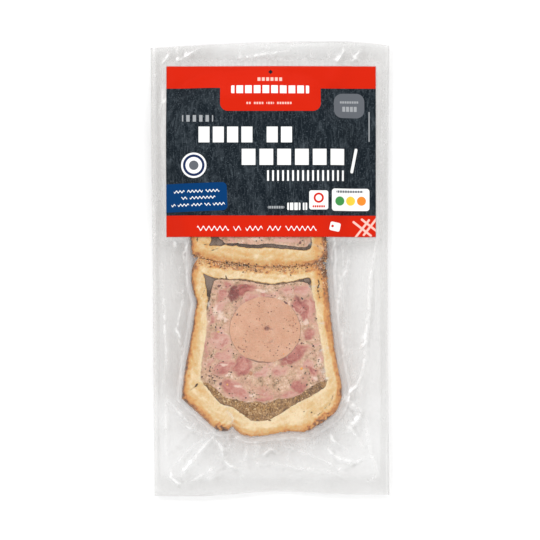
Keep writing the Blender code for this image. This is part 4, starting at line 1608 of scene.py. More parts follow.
    def fat(self, at: Place) -> Array:
        """Where pale fat and sinew lie, from 0 to 1.

        Args:
            at: places in the slice.
        Returns:
            The share at each place.
        """
        n, across, up = self.noise, at.across, at.up
        a = across + 2.4 * (n.rough(across + 8, up, 2.4, 3) - 0.5)
        b = up + 2.4 * (n.rough(across, up + 8, 2.4, 3) - 0.5)
        sinew = np.clip(n.ridges(across + 15, up, 7.0, 2) - 0.88, 0.0, 1.0) * 4.0
        dabs = (1.0 - 0.6 * spot.away(a, b) for spot in FAT_SPOTS)
        return np.clip(np.maximum.reduce([sinew, *dabs]), 0.0, 1.0)

    def bake(self, at: Place) -> Array:
        """How brown the crust is: 0 pale, 1 browned, above 1 burnt.

        Args:
            at: places in the slice.
        Returns:
            The browning at each place.
        """
        n, across, up, depth = self.noise, at.across, at.up, at.depth
        patchy, ragged = n.rough(across, up, 8.0, 3), n.rough(across, up + 60, 2.0, 3)
        toward_right, crown = -self.towards * across, smooth(up, 76.0, 8.0)
        right = smooth(toward_right, 20.0, 9.0) * (1.0 - crown)
        skin = (0.36 - 0.2 * right - 0.2 * crown) * np.exp(-((depth / 0.6) ** 1.6))
        glow = (0.28 - 0.14 * crown) * (1.0 - right) * bell(depth, 1.2 + 2.0 * patchy)
        golden = 0.4 * right * fade(depth - 1.4, 1.6 * patchy, 1.5)
        layered = n.rough(self.polar(across, up)[0] * 9.0 + 20.0, at.radius, 1.5, 3) - 0.5
        spotty = n.rough(across + 30, up, 0.9, 2) - 0.5
        golden = golden + 0.13 * (1.0 - right) * fade(depth, 2.6, 1.6)
        from_seam = self.from_seam(at)
        skin_share = 0.35 + 0.65 * smooth(from_seam, 0.8, 2.5)
        brown = ((skin + glow) * skin_share * (0.4 + 1.2 * ragged) + golden * (0.8 + 0.4 * ragged)
                 + self.browned)
        brown = brown + (0.11 - 0.04 * crown) * (0.3 + 1.4 * patchy)
        brown = np.maximum(brown * (1.0 + 0.9 * spotty) + 0.3 * layered * smooth(depth, 0.4, 1.0), 0.0)
        brown = brown * smooth((at.radius - at.inner) / 3.4 + 0.2)
        band = fade(from_seam, self.seam_brown * (0.55 + 0.4 * patchy), 0.45 * self.seam_brown)
        brown = np.maximum(brown, band * (0.02 + 1.7 * np.clip(ragged - 0.4, 0.0, 1.0) + 0.26 * patchy))
        corner = smooth(toward_right, 28.0, 4.0) * fade(up, 16.0, 10.0)
        brown = brown + corner * (0.05 + 0.35 * n.rough(across, up + 9, 1.4, 3))
        speckled = np.clip(3.4 * n.rough(across, up + 31, 1.0, 3) - 1.0, 0.0, 1.8)
        for middle, height, size, amount in BURNT_SPOTS:
            brown = brown + amount * bell(np.hypot(across - middle, up - height), size) * speckled
        fuzzy = np.clip(n.rough(across, up + 47, 1.2, 3) - 0.25, 0.0, 1.0)
        inner_rim = np.exp(-at.from_inner / (0.3 + 2.2 * fuzzy * smooth(self.towards * across, 20.0, 4.0)))
        return np.clip(brown + 0.36 * inner_rim * self.base_line(at), 0.0, 1.6)

    def crack(self, at: Place) -> Array:
        """Where the crust is cracked, from 0 to 1.

        Args:
            at: places in the slice.
        Returns:
            The share at each place.
        """
        n, up = self.noise, at.up
        shifted = at.across + 0.6 * (n.rough(at.across, up + 11, 1.0, 2) - 0.5)
        broken = 0.45 + 1.1 * n.rough(at.across + 5, up, 0.9, 2)
        return np.clip(sum(crack.share(shifted, up) for crack in self.cracks) * broken, 0.0, 1.2)

    def flare(self, across: Array, up: Array) -> Array:
        """How far the crust's lower edge spreads outside its upper edge, on the left and at the crown's left.

        Args:
            across, up: points of the slice.
        Returns:
            The spread at each point.
        """
        left = self.towards * across
        return 1.4 * np.maximum(smooth(left, 30.0, 4.0) * smooth(up, 44.0, 10.0),
                                smooth(left, 4.0, 8.0) * smooth(up, 70.0, 8.0))


@dataclass
class Slice:
    """One slice: crust, jelly, forcemeat and mousse, each a closed mesh as thick as the slice."""

    form: SliceForm
    name: str
    finishes: dict[Layer, Finish]
    rings: dict[Layer, int] = field(default_factory=lambda: {
        Layer.CRUST: 24, Layer.JELLY: 12, Layer.FORCEMEAT: 46})
    back_rings: int = 14
    wall_steps: int = 12
    crust_grade: float = 1.25
    mousse_cells: int = 92
    wall_bulge: float = 0.7
    under_clear: float = 0.4

    def build(self) -> list[bpy.types.Object]:
        """Builds and dresses the four layers."""
        return [self.ring(Layer.CRUST, self.wall_steps, self.crust_grade), self.ring(Layer.JELLY),
                self.ring(Layer.FORCEMEAT), self.mousse()]

    def loop(self, radius: Array, heights: Array | None = None) -> Array:
        """A loop of points of the pack at the shared angles.

        Args:
            radius: its radii.
            heights: its heights; without them it lies on the lower cut face.
        Returns:
            The points.
        """
        x, y = self.form.to_pack(*self.form.around(radius, self.form.angles))
        if heights is None:
            heights = self.form.pack.film_bottom(x, y) + self.under_clear
        return rows_of(x, y, heights)

    def ring(self, layer: Layer, wall_steps: int = 1, grade: float = 1.0) -> bpy.types.Object:
        """A closed ring-shaped layer.

        Args:
            layer: which layer, which gives its two edges.
            wall_steps: steps of the outer wall.
            grade: above 1 to crowd the rings at the outer edge.
        Returns:
            The object.
        """
        form = self.form
        inner, outer = form.edges[layer.value - 1], form.edges[layer.value]
        loops, kept = [], {}

        def note(radius: Array) -> Place:
            """Keeps the attributes of one loop and gives its places.

            Args:
                radius: the loop's radii.
            Returns:
                The places on it.
            """
            at = Place(*form.around(radius, form.angles), radius, inner, outer)
            for key, values in form.marks(layer, at).items():
                kept.setdefault(key, []).append(values)
            return at

        for share in 1.0 - (1.0 - np.linspace(0.0, 1.0, self.rings[layer])) ** grade:
            loops.append(rows_of(*form.face(layer, note(inner + (outer - inner) * share))))
        foot = outer + (form.flare(*form.around(outer, form.angles)) if wall_steps > 1 else 0.0)
        top, bottom = loops[-1][:, 2], self.loop(foot)[:, 2]
        for step in range(1, wall_steps):
            share, at = step / wall_steps, note(outer)
            crumb = form.noise.rough(at.across + 3 * step, at.up - 2 * step, 2.4, 3) - 0.5
            bulge = (self.wall_bulge * math.sin(math.pi * share) * (0.5 + 1.0 * crumb)
                     * smooth(at.up, 1.0, 4.0))
            loops.append(self.loop(outer + (foot - outer) * share + bulge, top + (bottom - top) * share))
        for share in np.linspace(1.0, 0.0, self.back_rings):
            radius = inner + (foot - inner) * share
            note(np.minimum(radius, outer))
            loops.append(self.loop(radius))
        return MeshWork.loft(f"{self.name}_{layer.name.lower()}", loops, kept, self.finishes[layer].material)

    def mousse(self) -> bpy.types.Object:
        """The mousse: a smooth disc with a small pit and a crescent dent.

        Returns:
            The mousse's object.
        """
        form = self.form
        u, v = np.meshgrid(*[np.linspace(-1.0, 1.0, self.mousse_cells + 1)] * 2, indexing="ij")
        disc_x, disc_y = u * np.sqrt(1 - v * v / 2), v * np.sqrt(1 - u * u / 2)
        angle = np.arctan2(disc_y, disc_x)
        edge = np.interp(angle.ravel(), form.angles, form.edges[0], period=TURN).reshape(angle.shape)
        radius = np.hypot(disc_x, disc_y) * edge
        at = Place(*form.around(radius, angle), radius, 0.0 * edge, edge)
        x, y, top = form.face(Layer.MOUSSE, at)
        # rim: a dark line painted along the edge as a painted shadow, where it is bare and at the sides, and
        # in the gap on the side towards the crown
        bare = 0.9 * smooth(form.noise.rough(at.across, at.up, 9.0, 2), 0.46, 0.15)
        beside = 0.75 * smooth(np.abs(at.across - form.mousse_middle[0]), 12.5, 3.0)
        rim = np.exp(-((edge - radius) / 0.6) ** 1.5) * np.maximum(bare, beside)
        gap = 1.4 * np.exp(-((edge - radius) / 0.9) ** 2 - ((at.across + 0.5) / 4.0) ** 2)
        marks = {"pit": form.pit(at), "rim": np.clip(rim + gap * (at.up > form.mousse_middle[1]), 0, 1)}
        return MeshWork.slab(f"{self.name}_mousse", (x, y),
                             (top, form.pack.film_bottom(x, y) + self.under_clear),
                             marks, self.finishes[Layer.MOUSSE].material)


CREASES = Trace.rows(
    (1.3, 0.8, (-54.3, -111.4), (-53, -115.8), (-48.6, -118.8)),
    (1.2, 0.5, (-49, -113.1), (-40, -102), (-31.9, -93)),
    (1.3, 0.45, (-53.4, -109.2), (-43, -98.5), (-35.4, -92.6)),
    (1.2, 0.35, (-45.5, -118), (-31.9, -110.6), (-24.9, -107.9)), (1, 0.3, (-36.3, -115.8), (-24, -111.4)),
    (1, 0.4, (-49.9, -83.8), (-39.8, -89.5), (-31, -90.4)),
    (1.1, 0.75, (-31, -92.6), (-26.6, -98.2), (-24.9, -104.4), (-22.3, -107.9), (-16.1, -110.1)),
    (1.1, 0.4, (-58.3, -69.3), (-50.3, -78.1), (-42.5, -86)), (0.9, 0.35, (-24.9, -93), (-14.4, -92.1)),
    (1, 0.2, (-12, -97), (2, -98)), (1, 0.55, (33.4, -88.6), (34.8, -93.9), (38.3, -96.5)),
    (1, 0.6, (40.9, -69.3), (45.3, -74.6), (50.5, -78.1)),
    (1.1, 0.7, (50.5, -78.1), (47.9, -83.3), (44.4, -86.8), (47.9, -93)),
    (1.1, 0.7, (32.1, -99.1), (35.6, -102.6), (40.9, -105.3), (47.9, -105.3)),
    (0.8, 0.4, (49.7, -94.7), (51.4, -99.1)), (0.9, 0.6, (41.5, -73), (44.6, -69)),
    (1.3, 0.4, (6.7, -96.5), (29.5, -105.3), (43.5, -114)), (0.9, 0.35, (37.4, -110.5), (53.2, -103.5)),
    (1, 0.35, (-17, -107), (1.4, -107), (15.4, -109.7), (32.1, -111.4), (43.5, -114.9), (54.1, -115.8)),
    (1, 0.35, (53.2, -78.1), (54.1, -95.6), (57.6, -106.1), (58.5, -113.1), (54.1, -116.7)),
    (0.8, 0.3, (-56.9, -69.3), (-56.8, -90), (-56.5, -102.6), (-54.7, -104.4)),
    (0.9, 0.5, (-3.9, -102.6), (0.6, -99.1), (4.1, -100.9)), (1.1, 0.3, (-52.3, 16), (-51.4, 9.7)),
    (0.9, 0.4, (-44.4, 14.7), (-47, 8.4), (-47, 3.4)), (0.8, 0.3, (-45.4, 9.7), (-46, 0.2), (-44.1, -11.2)),
    (1, 0.45, (-48.2, -17.5), (-50.4, -30.1), (-51.1, -33.3), (-49.2, -37.7), (-48.6, -44.6), (-48.8, -59.8)),
    (0.9, 0.4, (-51.1, -33), (-49, -38)),
    (0.9, 0.3, (-58.6, 2.1), (-58, -28.2), (-56.8, -45.3), (-57.4, -67.4), (-49.8, -73)),
    (0.8, 0.3, (36.3, 16), (34.4, 9), (34.4, 2.1)),
    (0.9, 0.35, (43, 16), (43.6, 5.3), (40.4, -4.9), (38.5, -13.7), (37.2, -23.8)),
    (0.9, 0.3, (39.6, -28), (40.2, -38.9), (42.5, -51.6), (42.4, -57.3)),
    (0.9, 0.5, (59, 17.3), (55.6, -3), (54.3, -26.3), (52.4, -42.1), (51.8, -51.6), (48.6, -62.3),
     (41.7, -70.5)),
    (1, 0.9, (50, -41.6), (51.6, -42.8)), (0.9, 0.45, (41.7, -69.2), (48, -64.2)),
    (1, 0.4, (-60.5, 109.5), (-54, 120.5)), (0.9, 0.4, (-49.5, 115), (-38.5, 121.5)),
    (1, 0.5, (36, 112), (41, 120.5)), (1, 0.45, (44, 111.5), (50.5, 121)),
    (0.9, 0.3, (-16.5, 116), (11, 119.5)),
)
CRUMPLES = tuple(Spot(*numbers) for numbers in (
    (45, -80, 6, 11, 0.8), (39, -99, 8, 7, 0.7), (-26, -99, 7, 9, 0.7),
    (-45, -104, 9, 9, 0.3), (0, -101, 30, 6, 0.3), (-49, -50, 3, 26, 0.25),
    (40, -25, 3, 34, 0.4), (41, 4, 4, 12, 0.35), (-48, -10, 3, 18, 0.25),
    (46, 117, 10, 5, 0.6), (-46, 117, 12, 5, 0.5), (8, 117, 32, 4.5, 0.5),
    (0, -110, 40, 5, 0.25), (-40, -84, 8, 7, 0.35),
))
GLINTS = Trace.rows(
    (1.3, 0.9, (28.6, -55), (29.6, -57.4), (31, -59.4)), (0.7, 0.6, (27, -29.2), (29.2, -29.6)),
    (0.8, 0.6, (27.3, -44.5), (31.4, -43)), (0.7, 0.5, (21.8, -9.6), (28.6, -9.4)),
    (0.7, 0.4, (27.4, 9), (27.5, 1)), (0.8, 0.6, (-23.6, -75.4), (-20.6, -81), (-20.2, -86.4)),
    (0.7, 0.35, (21.5, 14), (31, 10.5)), (0.7, 0.8, (-33.6, -18.6), (-33.2, -20)),
)


@dataclass
class Pouch:
    """The clear pouch: a front and a back film, sealed to each other outside the slices."""

    form: PackForm
    finish: Finish
    cells_across: int = 200
    cells_along: int = 384
    back_stride: int = 2
    thinnest: float = 0.25
    seal_width: float = 5.4
    end_seal_width: float = 14.0
    fan_middle: tuple[float, float] = (-5.0, -50.0)
    curvature_gain: float = 1.1
    slope_gain: float = 1.2
    noise: Noise = Noise(21)

    def build(self) -> bpy.types.Object:
        """Builds the closed pouch, finer at the front than at the back.

        Returns:
            The pouch's object.
        """
        form = self.form
        sides = ((form.width, self.cells_across), (form.length, self.cells_along))
        nominal = (np.linspace(-side / 2, side / 2, cells + 1) for side, cells in sides)
        x, y = form.to_border(*np.meshgrid(*nominal, indexing="ij"))
        distance = form.film_distance(x, y)
        rise = self.wrinkles(x, y) * smooth(form.border_distance(x, y), 0.0, 2.5)
        front = form.film_top(x, y) + rise
        back = form.film_bottom(x, y) + 0.5 * rise * smooth(distance, 3.0, 4.0)
        # grey: painted shade, greyer beside the slices on the left and a little on the right
        grey = (smooth(-x, 26.0, 10.0) + 0.4 * smooth(x, 34.0, 8.0)) * smooth(y, -76.0, 16.0)
        # ridge: painted fold light, lighter on crests and on sides facing the upper left, darker in valleys
        # and on the other sides
        marks = {"cling": fade(distance, -0.4, 1.6), "ridge": self.curved(rise, x, y),
                 "seal": self.seal(x, y), "glint": self.glint(x, y), "grey": grey,
                 # drop also pales the film round the label, painted light over the label's shadow
                 "drop": np.maximum(self.drop(x, distance), 0.6 * form.label_cover(x, y))}
        return self.closed(x, y, front, np.minimum(back, front - self.thinnest), marks)

    def drop(self, x: Array, distance: Array) -> Array:
        """A painted highlight: towards 1 on a bright line where the film drops from the slices, with painted
        paler film beyond it, more on the right.

        Args:
            x: where the points lie across the pack.
            distance: how far outside the slices they are.
        Returns:
            The line's share at each point.
        """
        right = smooth(x, -40.0, 80.0)
        line = (0.6 + 0.3 * right) * bell(distance - 3.0 - 1.2 * right, 1.1)
        return np.maximum(line, (0.25 + 0.15 * right) * bell(distance - 7.0, 4.5))

    def glint(self, x: Array, y: Array) -> Array:
        """1 in the broken white glints of the film over the slices."""
        broken = smooth(self.noise.rough(x + 20.0, y, 1.6, 2), 0.3, 0.3)
        return np.clip(sum(glint.share(x, y) for glint in GLINTS), 0.0, 1.0) * broken

    def seal(self, x: Array, y: Array) -> Array:
        """How welded the film is.

        Args:
            x, y: points of the pack.
        Returns:
            Towards 0.5 in the bands along the four sides, with pressed lines, and 1 at the cut edge.
        """
        across, along = self.form.width / 2 - np.abs(x), self.form.length / 2 - np.abs(y)
        lines = self.noise.rough(x, y * 0.01, 1.3, 2)
        band = np.maximum(smooth(self.seal_width - across, 0.0, 0.8) * (0.15 + 0.5 * lines),
                          0.4 * smooth(self.end_seal_width - along, 0.0, 6.0))
        return np.maximum(band, fade(np.minimum(across, along), 0.0, 0.9))

    def wrinkles(self, x: Array, y: Array) -> Array:
        """Height of the film's wrinkles.

        Args:
            x, y: points of the pack.
        Returns:
            The heights of creases, crumples, streaks along the sides, rays round the crown and broad waves.
        """
        form, n = self.form, self.noise
        height = sum(crease.ridge(x, y) for crease in CREASES) * (0.6 + 1.1 * n.rough(x, y, 3.5, 3))
        crumpled = np.clip(sum(crumple.share(x, y) for crumple in CRUMPLES), 0.0, 1.0)
        coarse = np.clip(n.ridges(x * 0.9, y * 0.6, 7.0, 3), -0.3, 1.0)
        small = np.clip(n.ridges(x + 60.0, y * 0.8, 3.6, 2), -0.3, 1.0)
        height += (0.06 + crumpled) * (0.8 * coarse + 0.22 * small)
        beside = smooth(np.abs(x + 2.0), 36.0, 6.0) * smooth(y, -78.0, 14.0)
        height += beside * (n.rough(x, y * 0.1, 4.5, 3) - 0.5 + 0.12 * (n.rough(x, y * 0.2, 1.8, 2) - 0.5))
        dx, dy = x - self.fan_middle[0], y - self.fan_middle[1]
        angle, reach = np.arctan2(dx, -dy), np.hypot(dx, dy)
        fan = smooth(reach, 43.0, 6.0) * fade(reach, 66.0, 10.0) * smooth(-y, 66.0, 10.0)
        height += fan * 1.6 * (n.rough(angle * 46.0, reach * 0.14, 6.0, 2) - 0.5)
        height += n.rough(x, y, 14.0, 3) - 0.5
        clung = 0.05 * (n.rough(x, y, 2.2, 3) - 0.5)
        free = smooth(form.film_distance(x, y), -0.5, 2.5)
        return (height * free + clung) * fade(form.label_cover(x, y), 0.4, 0.5)

    def curved(self, rise: Array, x: Array, y: Array) -> Array:
        """Painted fold light: how the film bends and leans, shaded as if lit from the upper left.

        Args:
            rise: the wrinkles' heights.
            x, y: the grid's points.
        Returns:
            Towards 1 on crests and sides facing the upper left, painted highlight, towards -1 in valleys and
            on sides turned away, painted shade.
        """
        along_x, along_y = np.gradient(rise, x[:, 0], y[0])
        bend = -np.gradient(along_x, x[:, 0], axis=0) - np.gradient(along_y, y[0], axis=1)
        # painted light from the upper left on the sides of the wrinkles
        painted_side_light = self.slope_gain * (0.8 * along_x - 0.6 * along_y)
        return np.clip(self.curvature_gain * bend + painted_side_light, -1.0, 1.2)

    def closed(self, x: Array, y: Array, front: Array, back: Array,
               marks: dict[str, Array]) -> bpy.types.Object:
        """Joins the front grid and a coarser back grid along the front's cut edge.

        Args:
            x, y: the front grid's points.
            front, back: the heights of the two films.
            marks: for each attribute, one value a grid point.
        Returns:
            The pouch.
        """
        shape, stride = x.shape, self.back_stride
        faces, rim = MeshWork.grid_faces(*shape).tolist(), MeshWork.rim_of(*shape)
        inner = np.zeros(shape, bool)
        inner[stride:-stride:stride, stride:-stride:stride] = True
        index = np.full(x.size, -1)
        index[inner.ravel()] = x.size + np.arange(inner.sum())
        index[rim] = x.size + inner.sum() + np.arange(len(rim))
        after = np.roll(rim, -1)
        faces += rows_of(rim, after, index[after], index[rim]).tolist()
        index = index.reshape(shape)
        steps = range(stride)
        around = ([(k, 0) for k in steps] + [(stride, k) for k in steps]
                  + [(stride - k, stride) for k in steps]
                  + [(0, stride - k) for k in steps])
        for i in range(0, shape[0] - 1, stride):
            for j in range(0, shape[1] - 1, stride):
                ring = [int(index[i + di, j + dj]) for di, dj in reversed(around)]
                faces.append([point for point in ring if point >= 0])
        parts = [[values.ravel() for values in (x, y, front)], [values[inner] for values in (x, y, back)],
                 [values.ravel()[rim] for values in (x, y, back)]]
        kept = {key: np.concatenate([v.ravel(), v[inner], v.ravel()[rim]]) for key, v in marks.items()}
        return MeshWork.build("pouch_film", np.vstack([rows_of(*part) for part in parts]), faces, kept,
                              material=self.finish.material)


@dataclass
class Label:
    """The printed label, lying on the film and following it."""

    form: PackForm
    finish: Finish
    cells_across: int = 150
    cells_along: int = 122
    above_film: float = 0.1

    def build(self) -> bpy.types.Object:
        """Builds the label as a thin closed sheet.

        Returns:
            The label's object.
        """
        form = self.form
        sides = ((form.label_width, self.cells_across, form.label_x),
                 (form.label_length, self.cells_along, form.label_y))
        lines = (np.linspace(-side / 2, side / 2, cells + 1) + middle for side, cells, middle in sides)
        x, y = np.meshgrid(*lines, indexing="ij")
        under = form.film_top(x, y) + self.above_film
        return MeshWork.slab("printed_label", (x, y), (under + form.label_thickness, under), {},
                             self.finish.material)


@dataclass(frozen=True)
class Scatter:
    """Many small bits over a surface, made by one Geometry Nodes tree.

    Density is for each square metre where the carrier's "share" is 1. Sizes are the bits' diameters in
    metres.
    """

    name: str
    density: float
    smallest: float
    largest: float
    flatness: float
    seed: int
    jag: float = 0.35
    detail: int = 1

    def tree(self, material: bpy.types.Material) -> tuple[bpy.types.NodeTree, dict[str, str]]:
        """Builds the tree: points on faces, a jagged bit on each, with its own shade.

        Args:
            material: the bits' material.
        Returns:
            The tree, and the identifiers of its inputs by name.
        """
        tree = bpy.data.node_groups.new(self.name, "GeometryNodeTree")
        kinds = {"Geometry": "NodeSocketGeometry", "Seed": "NodeSocketInt"}
        kinds.update(dict.fromkeys(("Density", "Smallest", "Largest", "Flatness", "Jag"), "NodeSocketFloat"))
        names = {label: tree.interface.new_socket(label, in_out="INPUT", socket_type=kind).identifier
                 for label, kind in kinds.items()}
        tree.interface.new_socket("Geometry", in_out="OUTPUT", socket_type="NodeSocketGeometry")
        wire = Wiring(tree)
        node, sockets = wire.node, tree.nodes.new("NodeGroupInput").outputs
        mesh, seed, density, smallest, largest, flatness, jag = (Value(wire, sockets[label])
                                                                 for label in kinds)
        share = node("GeometryNodeInputNamedAttribute", {"Name": "share"}, "Attribute", data_type="FLOAT")
        points = node("GeometryNodeDistributePointsOnFaces",
                      {"Mesh": mesh, "Density": density * share, "Seed": seed})
        ball = node("GeometryNodeMeshIcoSphere", {"Radius": 0.5, "Subdivisions": self.detail})
        turn = node("FunctionNodeRandomValue", {0: (-0.4, -0.4, 0.0), 1: (0.4, 0.4, TURN)},
                    data_type="FLOAT_VECTOR")
        size = node("FunctionNodeRandomValue", {0: smallest, 1: largest}, data_type="FLOAT_VECTOR")
        flat = node("ShaderNodeCombineXYZ", {"X": 1.0, "Y": 1.0, "Z": flatness})
        scale = node("ShaderNodeVectorMath", {0: size, 1: flat}, operation="MULTIPLY")
        placed = node("GeometryNodeInstanceOnPoints",
                      {"Points": points, "Instance": ball, "Rotation": turn, "Scale": scale})
        shade = node("FunctionNodeRandomValue", {"Seed": self.seed + 3}, 1, data_type="FLOAT")
        kept = node("GeometryNodeStoreNamedAttribute", {"Geometry": placed, "Name": "shade", "Value": shade},
                    data_type="FLOAT", domain="INSTANCE")
        real = node("GeometryNodeRealizeInstances", {"Geometry": kept})
        noise = node("ShaderNodeTexNoise", {"Scale": 0.9 / self.largest}, "Color")
        centred = node("ShaderNodeVectorMath", {0: noise, 1: (0.5, 0.5, 0.5)}, operation="SUBTRACT")
        offset = node("ShaderNodeVectorMath", {0: centred, "Scale": jag * largest}, operation="SCALE")
        jagged = node("GeometryNodeSetPosition", {"Geometry": real, "Offset": offset})
        rounded = node("GeometryNodeSetShadeSmooth", {"Geometry": jagged})
        dressed = node("GeometryNodeSetMaterial", {"Geometry": rounded, "Material": material})
        wire.feed(tree.nodes.new("NodeGroupOutput").inputs[0], dressed)
        return tree, names

    def build(self, carrier: bpy.types.Object, material: bpy.types.Material) -> bpy.types.Object:
        """Scatters the bits over a carrier and removes it.

        Args:
            carrier: the sheet that they lie on.
            material: what they are dressed in.
        Returns:
            The bits as one plain mesh.
        """
        tree, names = self.tree(material)
        modifier = carrier.modifiers.new(self.name, "NODES")
        modifier.node_group = tree
        for label in ("Density", "Smallest", "Largest", "Flatness", "Jag", "Seed"):
            modifier[names[label]] = getattr(self, label.lower())
        mesh = bpy.data.meshes.new_from_object(carrier.evaluated_get(bpy.context.evaluated_depsgraph_get()))
        mesh.name = self.name
        carrier.modifiers.remove(modifier)
        bpy.data.objects.remove(carrier)
        return link(self.name, mesh)


@dataclass
class Garnish:
    """The small loose things in and on the slices: pepper, pores, grains of jelly, crumbs and diced bits."""

    slices: list[SliceForm]
    carrier_step: float = 0.8
    noise: Noise = Noise(77)

    def build(self) -> list[bpy.types.Object]:
        """Builds one piece for each kind.

        Returns:
            The pieces.
        """
        pepper = BitFinish("pepper", 0.45, ((0.0, 36, 30, 22), (0.25, 72, 60, 44), (0.6, 118, 98, 70),
                                            (1.0, 158, 132, 98)))
        pores = BitFinish("mousse_pores", 0.5, ((0.0, 84, 54, 44), (0.5, 128, 86, 66), (1.0, 178, 120, 84)))
        grains = BitFinish("jelly_grains", 0.2,
                           ((0.0, 116, 80, 42), (0.3, 146, 106, 58), (0.65, 168, 126, 76),
                                                 (0.9, 188, 148, 98), (1.0, 214, 184, 142)))
        crumbs = BitFinish("crumbs", 0.6, ((0.0, 70, 44, 28), (0.18, 128, 86, 56), (0.3, 180, 132, 92),
                                           (0.6, 200, 152, 106), (0.85, 218, 174, 126), (1.0, 232, 200, 164)))
        kinds = (
            (Scatter("pepper_specks", 190000.0, 0.00035, 0.001, 0.4, 5),
             Layer.FORCEMEAT, self.pepper, 0.04, pepper),
            (Scatter("mousse_pores", 95000.0, 0.0004, 0.0008, 0.35, 6),
             Layer.MOUSSE, self.pores, 0.04, pores),
            (Scatter("jelly_grains", 500000.0, 0.0006, 0.0021, 0.35, 7),
             Layer.JELLY, self.grains, 0.05, grains),
            (Scatter("seam_crumbs", 2200000.0, 0.0004, 0.0013, 0.5, 8, 0.6),
             Layer.CRUST, self.crumbs, 0.05, crumbs),
        )
        return [scatter.build(self.carrier(layer, share, above), finish.material)
                for scatter, layer, share, above, finish in kinds] + [self.diced()]

    def carrier(self, layer: Layer, share: Callable, above: float) -> bpy.types.Object:
        """An open sheet over one layer of both slices that carries a share from 0 to 1.

        Args:
            layer: the layer whose cut face it follows.
            share: gives the share from a slice and places of its layer.
            above: how far over the cut face it lies.
        Returns:
            The sheet.
        """
        across, up = np.meshgrid(np.arange(-46.0, 47.0, self.carrier_step),
                                 np.arange(-2.0, 97.0, self.carrier_step),
                                 indexing="ij")
        cells = MeshWork.grid_faces(*across.shape)
        points, faces, shares = [], [], []
        for number, form in enumerate(self.slices):
            at = form.place(layer, across, up)
            value = share(form, at).ravel()
            points.append(rows_of(*form.face(layer, at, above)))
            faces.append(cells[value[cells].max(axis=1) > 0.01] + number * across.size)
            shares.append(value)
        return MeshWork.build("carrier", np.vstack(points), np.vstack(faces),
                              {"share": np.concatenate(shares)}, False)

    def pepper(self, form: SliceForm, at: Place) -> Array:
        """Pepper's share: it lies in the forcemeat, in loose clusters and less in the ham.

        Args:
            form: the slice.
            at: places in it.
        Returns:
            The share at each place.
        """
        cluster = smooth(self.noise.rough(at.across, at.up, 7.0, 3), 0.42, 0.25) * 1.6 + 0.1
        left = Spot(-26.0, 61.0, 4.0, 5.0, 1.5).share(at.across, at.up)
        ham = smooth(form.ham(at)["ham"], -0.2, 0.4)
        inside = (at.radius > at.inner + 0.4) & (at.radius < at.outer - 0.4)
        return np.where(inside, (cluster + left) * (1.0 - 0.8 * ham), 0.0)

    def pores(self, form: SliceForm, at: Place) -> Array:
        """The pores' share: they are all over the mousse."""
        return np.where(at.radius < at.outer - 0.8, 0.4 + self.noise.rough(at.across, at.up, 6.0), 0.0)

    def grains(self, form: SliceForm, at: Place) -> Array:
        """The jelly grains' share: they fill the chopped jelly under the crown."""
        inside = (at.radius > at.inner + 0.5) & (at.radius < at.outer - 0.4)
        return np.where(inside, (1.0 - form.pocket(at)) * smooth(at.thick, 0.0, 2.0), 0.0)

    def crumbs(self, form: SliceForm, at: Place) -> Array:
        """The crumbs' share: they lie along the seam between the slices and at the browned corner.

        Args:
            form: the slice.
            at: places in it.
        Returns:
            The share at each place.
        """
        from_seam = form.from_seam(at)
        band = fade(from_seam, 0.35 * form.seam_brown, 0.75 * form.seam_brown)
        patchy = 0.4 + smooth(self.noise.rough(*form.to_pack(at.across, at.up), 2.6, 3), 0.4, 0.3)
        corner = 0.3 * smooth(-form.towards * at.across, 31.0, 2.0) * fade(at.up, 13.0, 6.0)
        on_crust = (at.radius < at.outer + 0.3) & (from_seam > -0.2)
        return np.where(on_crust, np.maximum(band, corner) * patchy, 0.0)

    def diced(self) -> bpy.types.Object:
        """The distinct small bits of vegetable, spice and browned meat, one by one.

        Returns:
            The bits as one object.
        """
        ball = bmesh.new()
        bmesh.ops.create_icosphere(ball, subdivisions=2, radius=1.0)
        unit = np.array([v.co[:] for v in ball.verts])
        unit_faces = np.array([[v.index for v in f.verts] for f in ball.faces])
        ball.free()
        points, faces, shades = [], [], []
        for form in self.slices:
            for number, bit in enumerate(DICED_BITS):
                cosine, sine = math.cos(math.radians(bit.slope)), math.sin(math.radians(bit.slope))
                jag = self.noise.soft(unit[:, 0] + 5 * number, unit[:, 1] + unit[:, 2], 0.7)
                jag = 1.0 + 0.35 * (jag - 0.5)
                u, v, w = (unit * jag[:, None] * (bit.half_long, bit.half_short, 0.25)).T
                at = form.place(Layer.FORCEMEAT, bit.across + u * cosine - v * sine,
                                bit.up - u * sine - v * cosine)
                x, y, level = form.face(Layer.FORCEMEAT, at, -0.05)
                faces.append(unit_faces + len(points) * len(unit))
                points.append(rows_of(x, y, level + w))
                shades.append(np.full(len(unit), bit.shade))
        dress = BitFinish("diced", 0.35, ((0.0, 40, 34, 28), (0.2, 88, 58, 58), (0.35, 112, 70, 66),
                                          (0.5, 184, 128, 96), (0.75, 206, 170, 96), (0.9, 228, 158, 84),
                                          (1.0, 222, 130, 60)))
        return MeshWork.build("diced_bits", np.vstack(points), np.vstack(faces),
                              {"shade": np.concatenate(shades)}, material=dress.material)


@dataclass(frozen=True)
class Lamp:
    """A soft square light, aimed at the middle of the pack."""

    name: str
    at: tuple[float, float, float]
    side: float
    watts: float

    def build(self) -> None:
        """Builds the light."""
        data = bpy.data.lights.new(self.name, "AREA")
        data.shape = "SQUARE"
        data.size = self.side
        data.energy = self.watts
        made = link(self.name, data)
        made.location = self.at
        made.rotation_euler = (-Vector(self.at)).to_track_quat("-Z", "Y").to_euler()


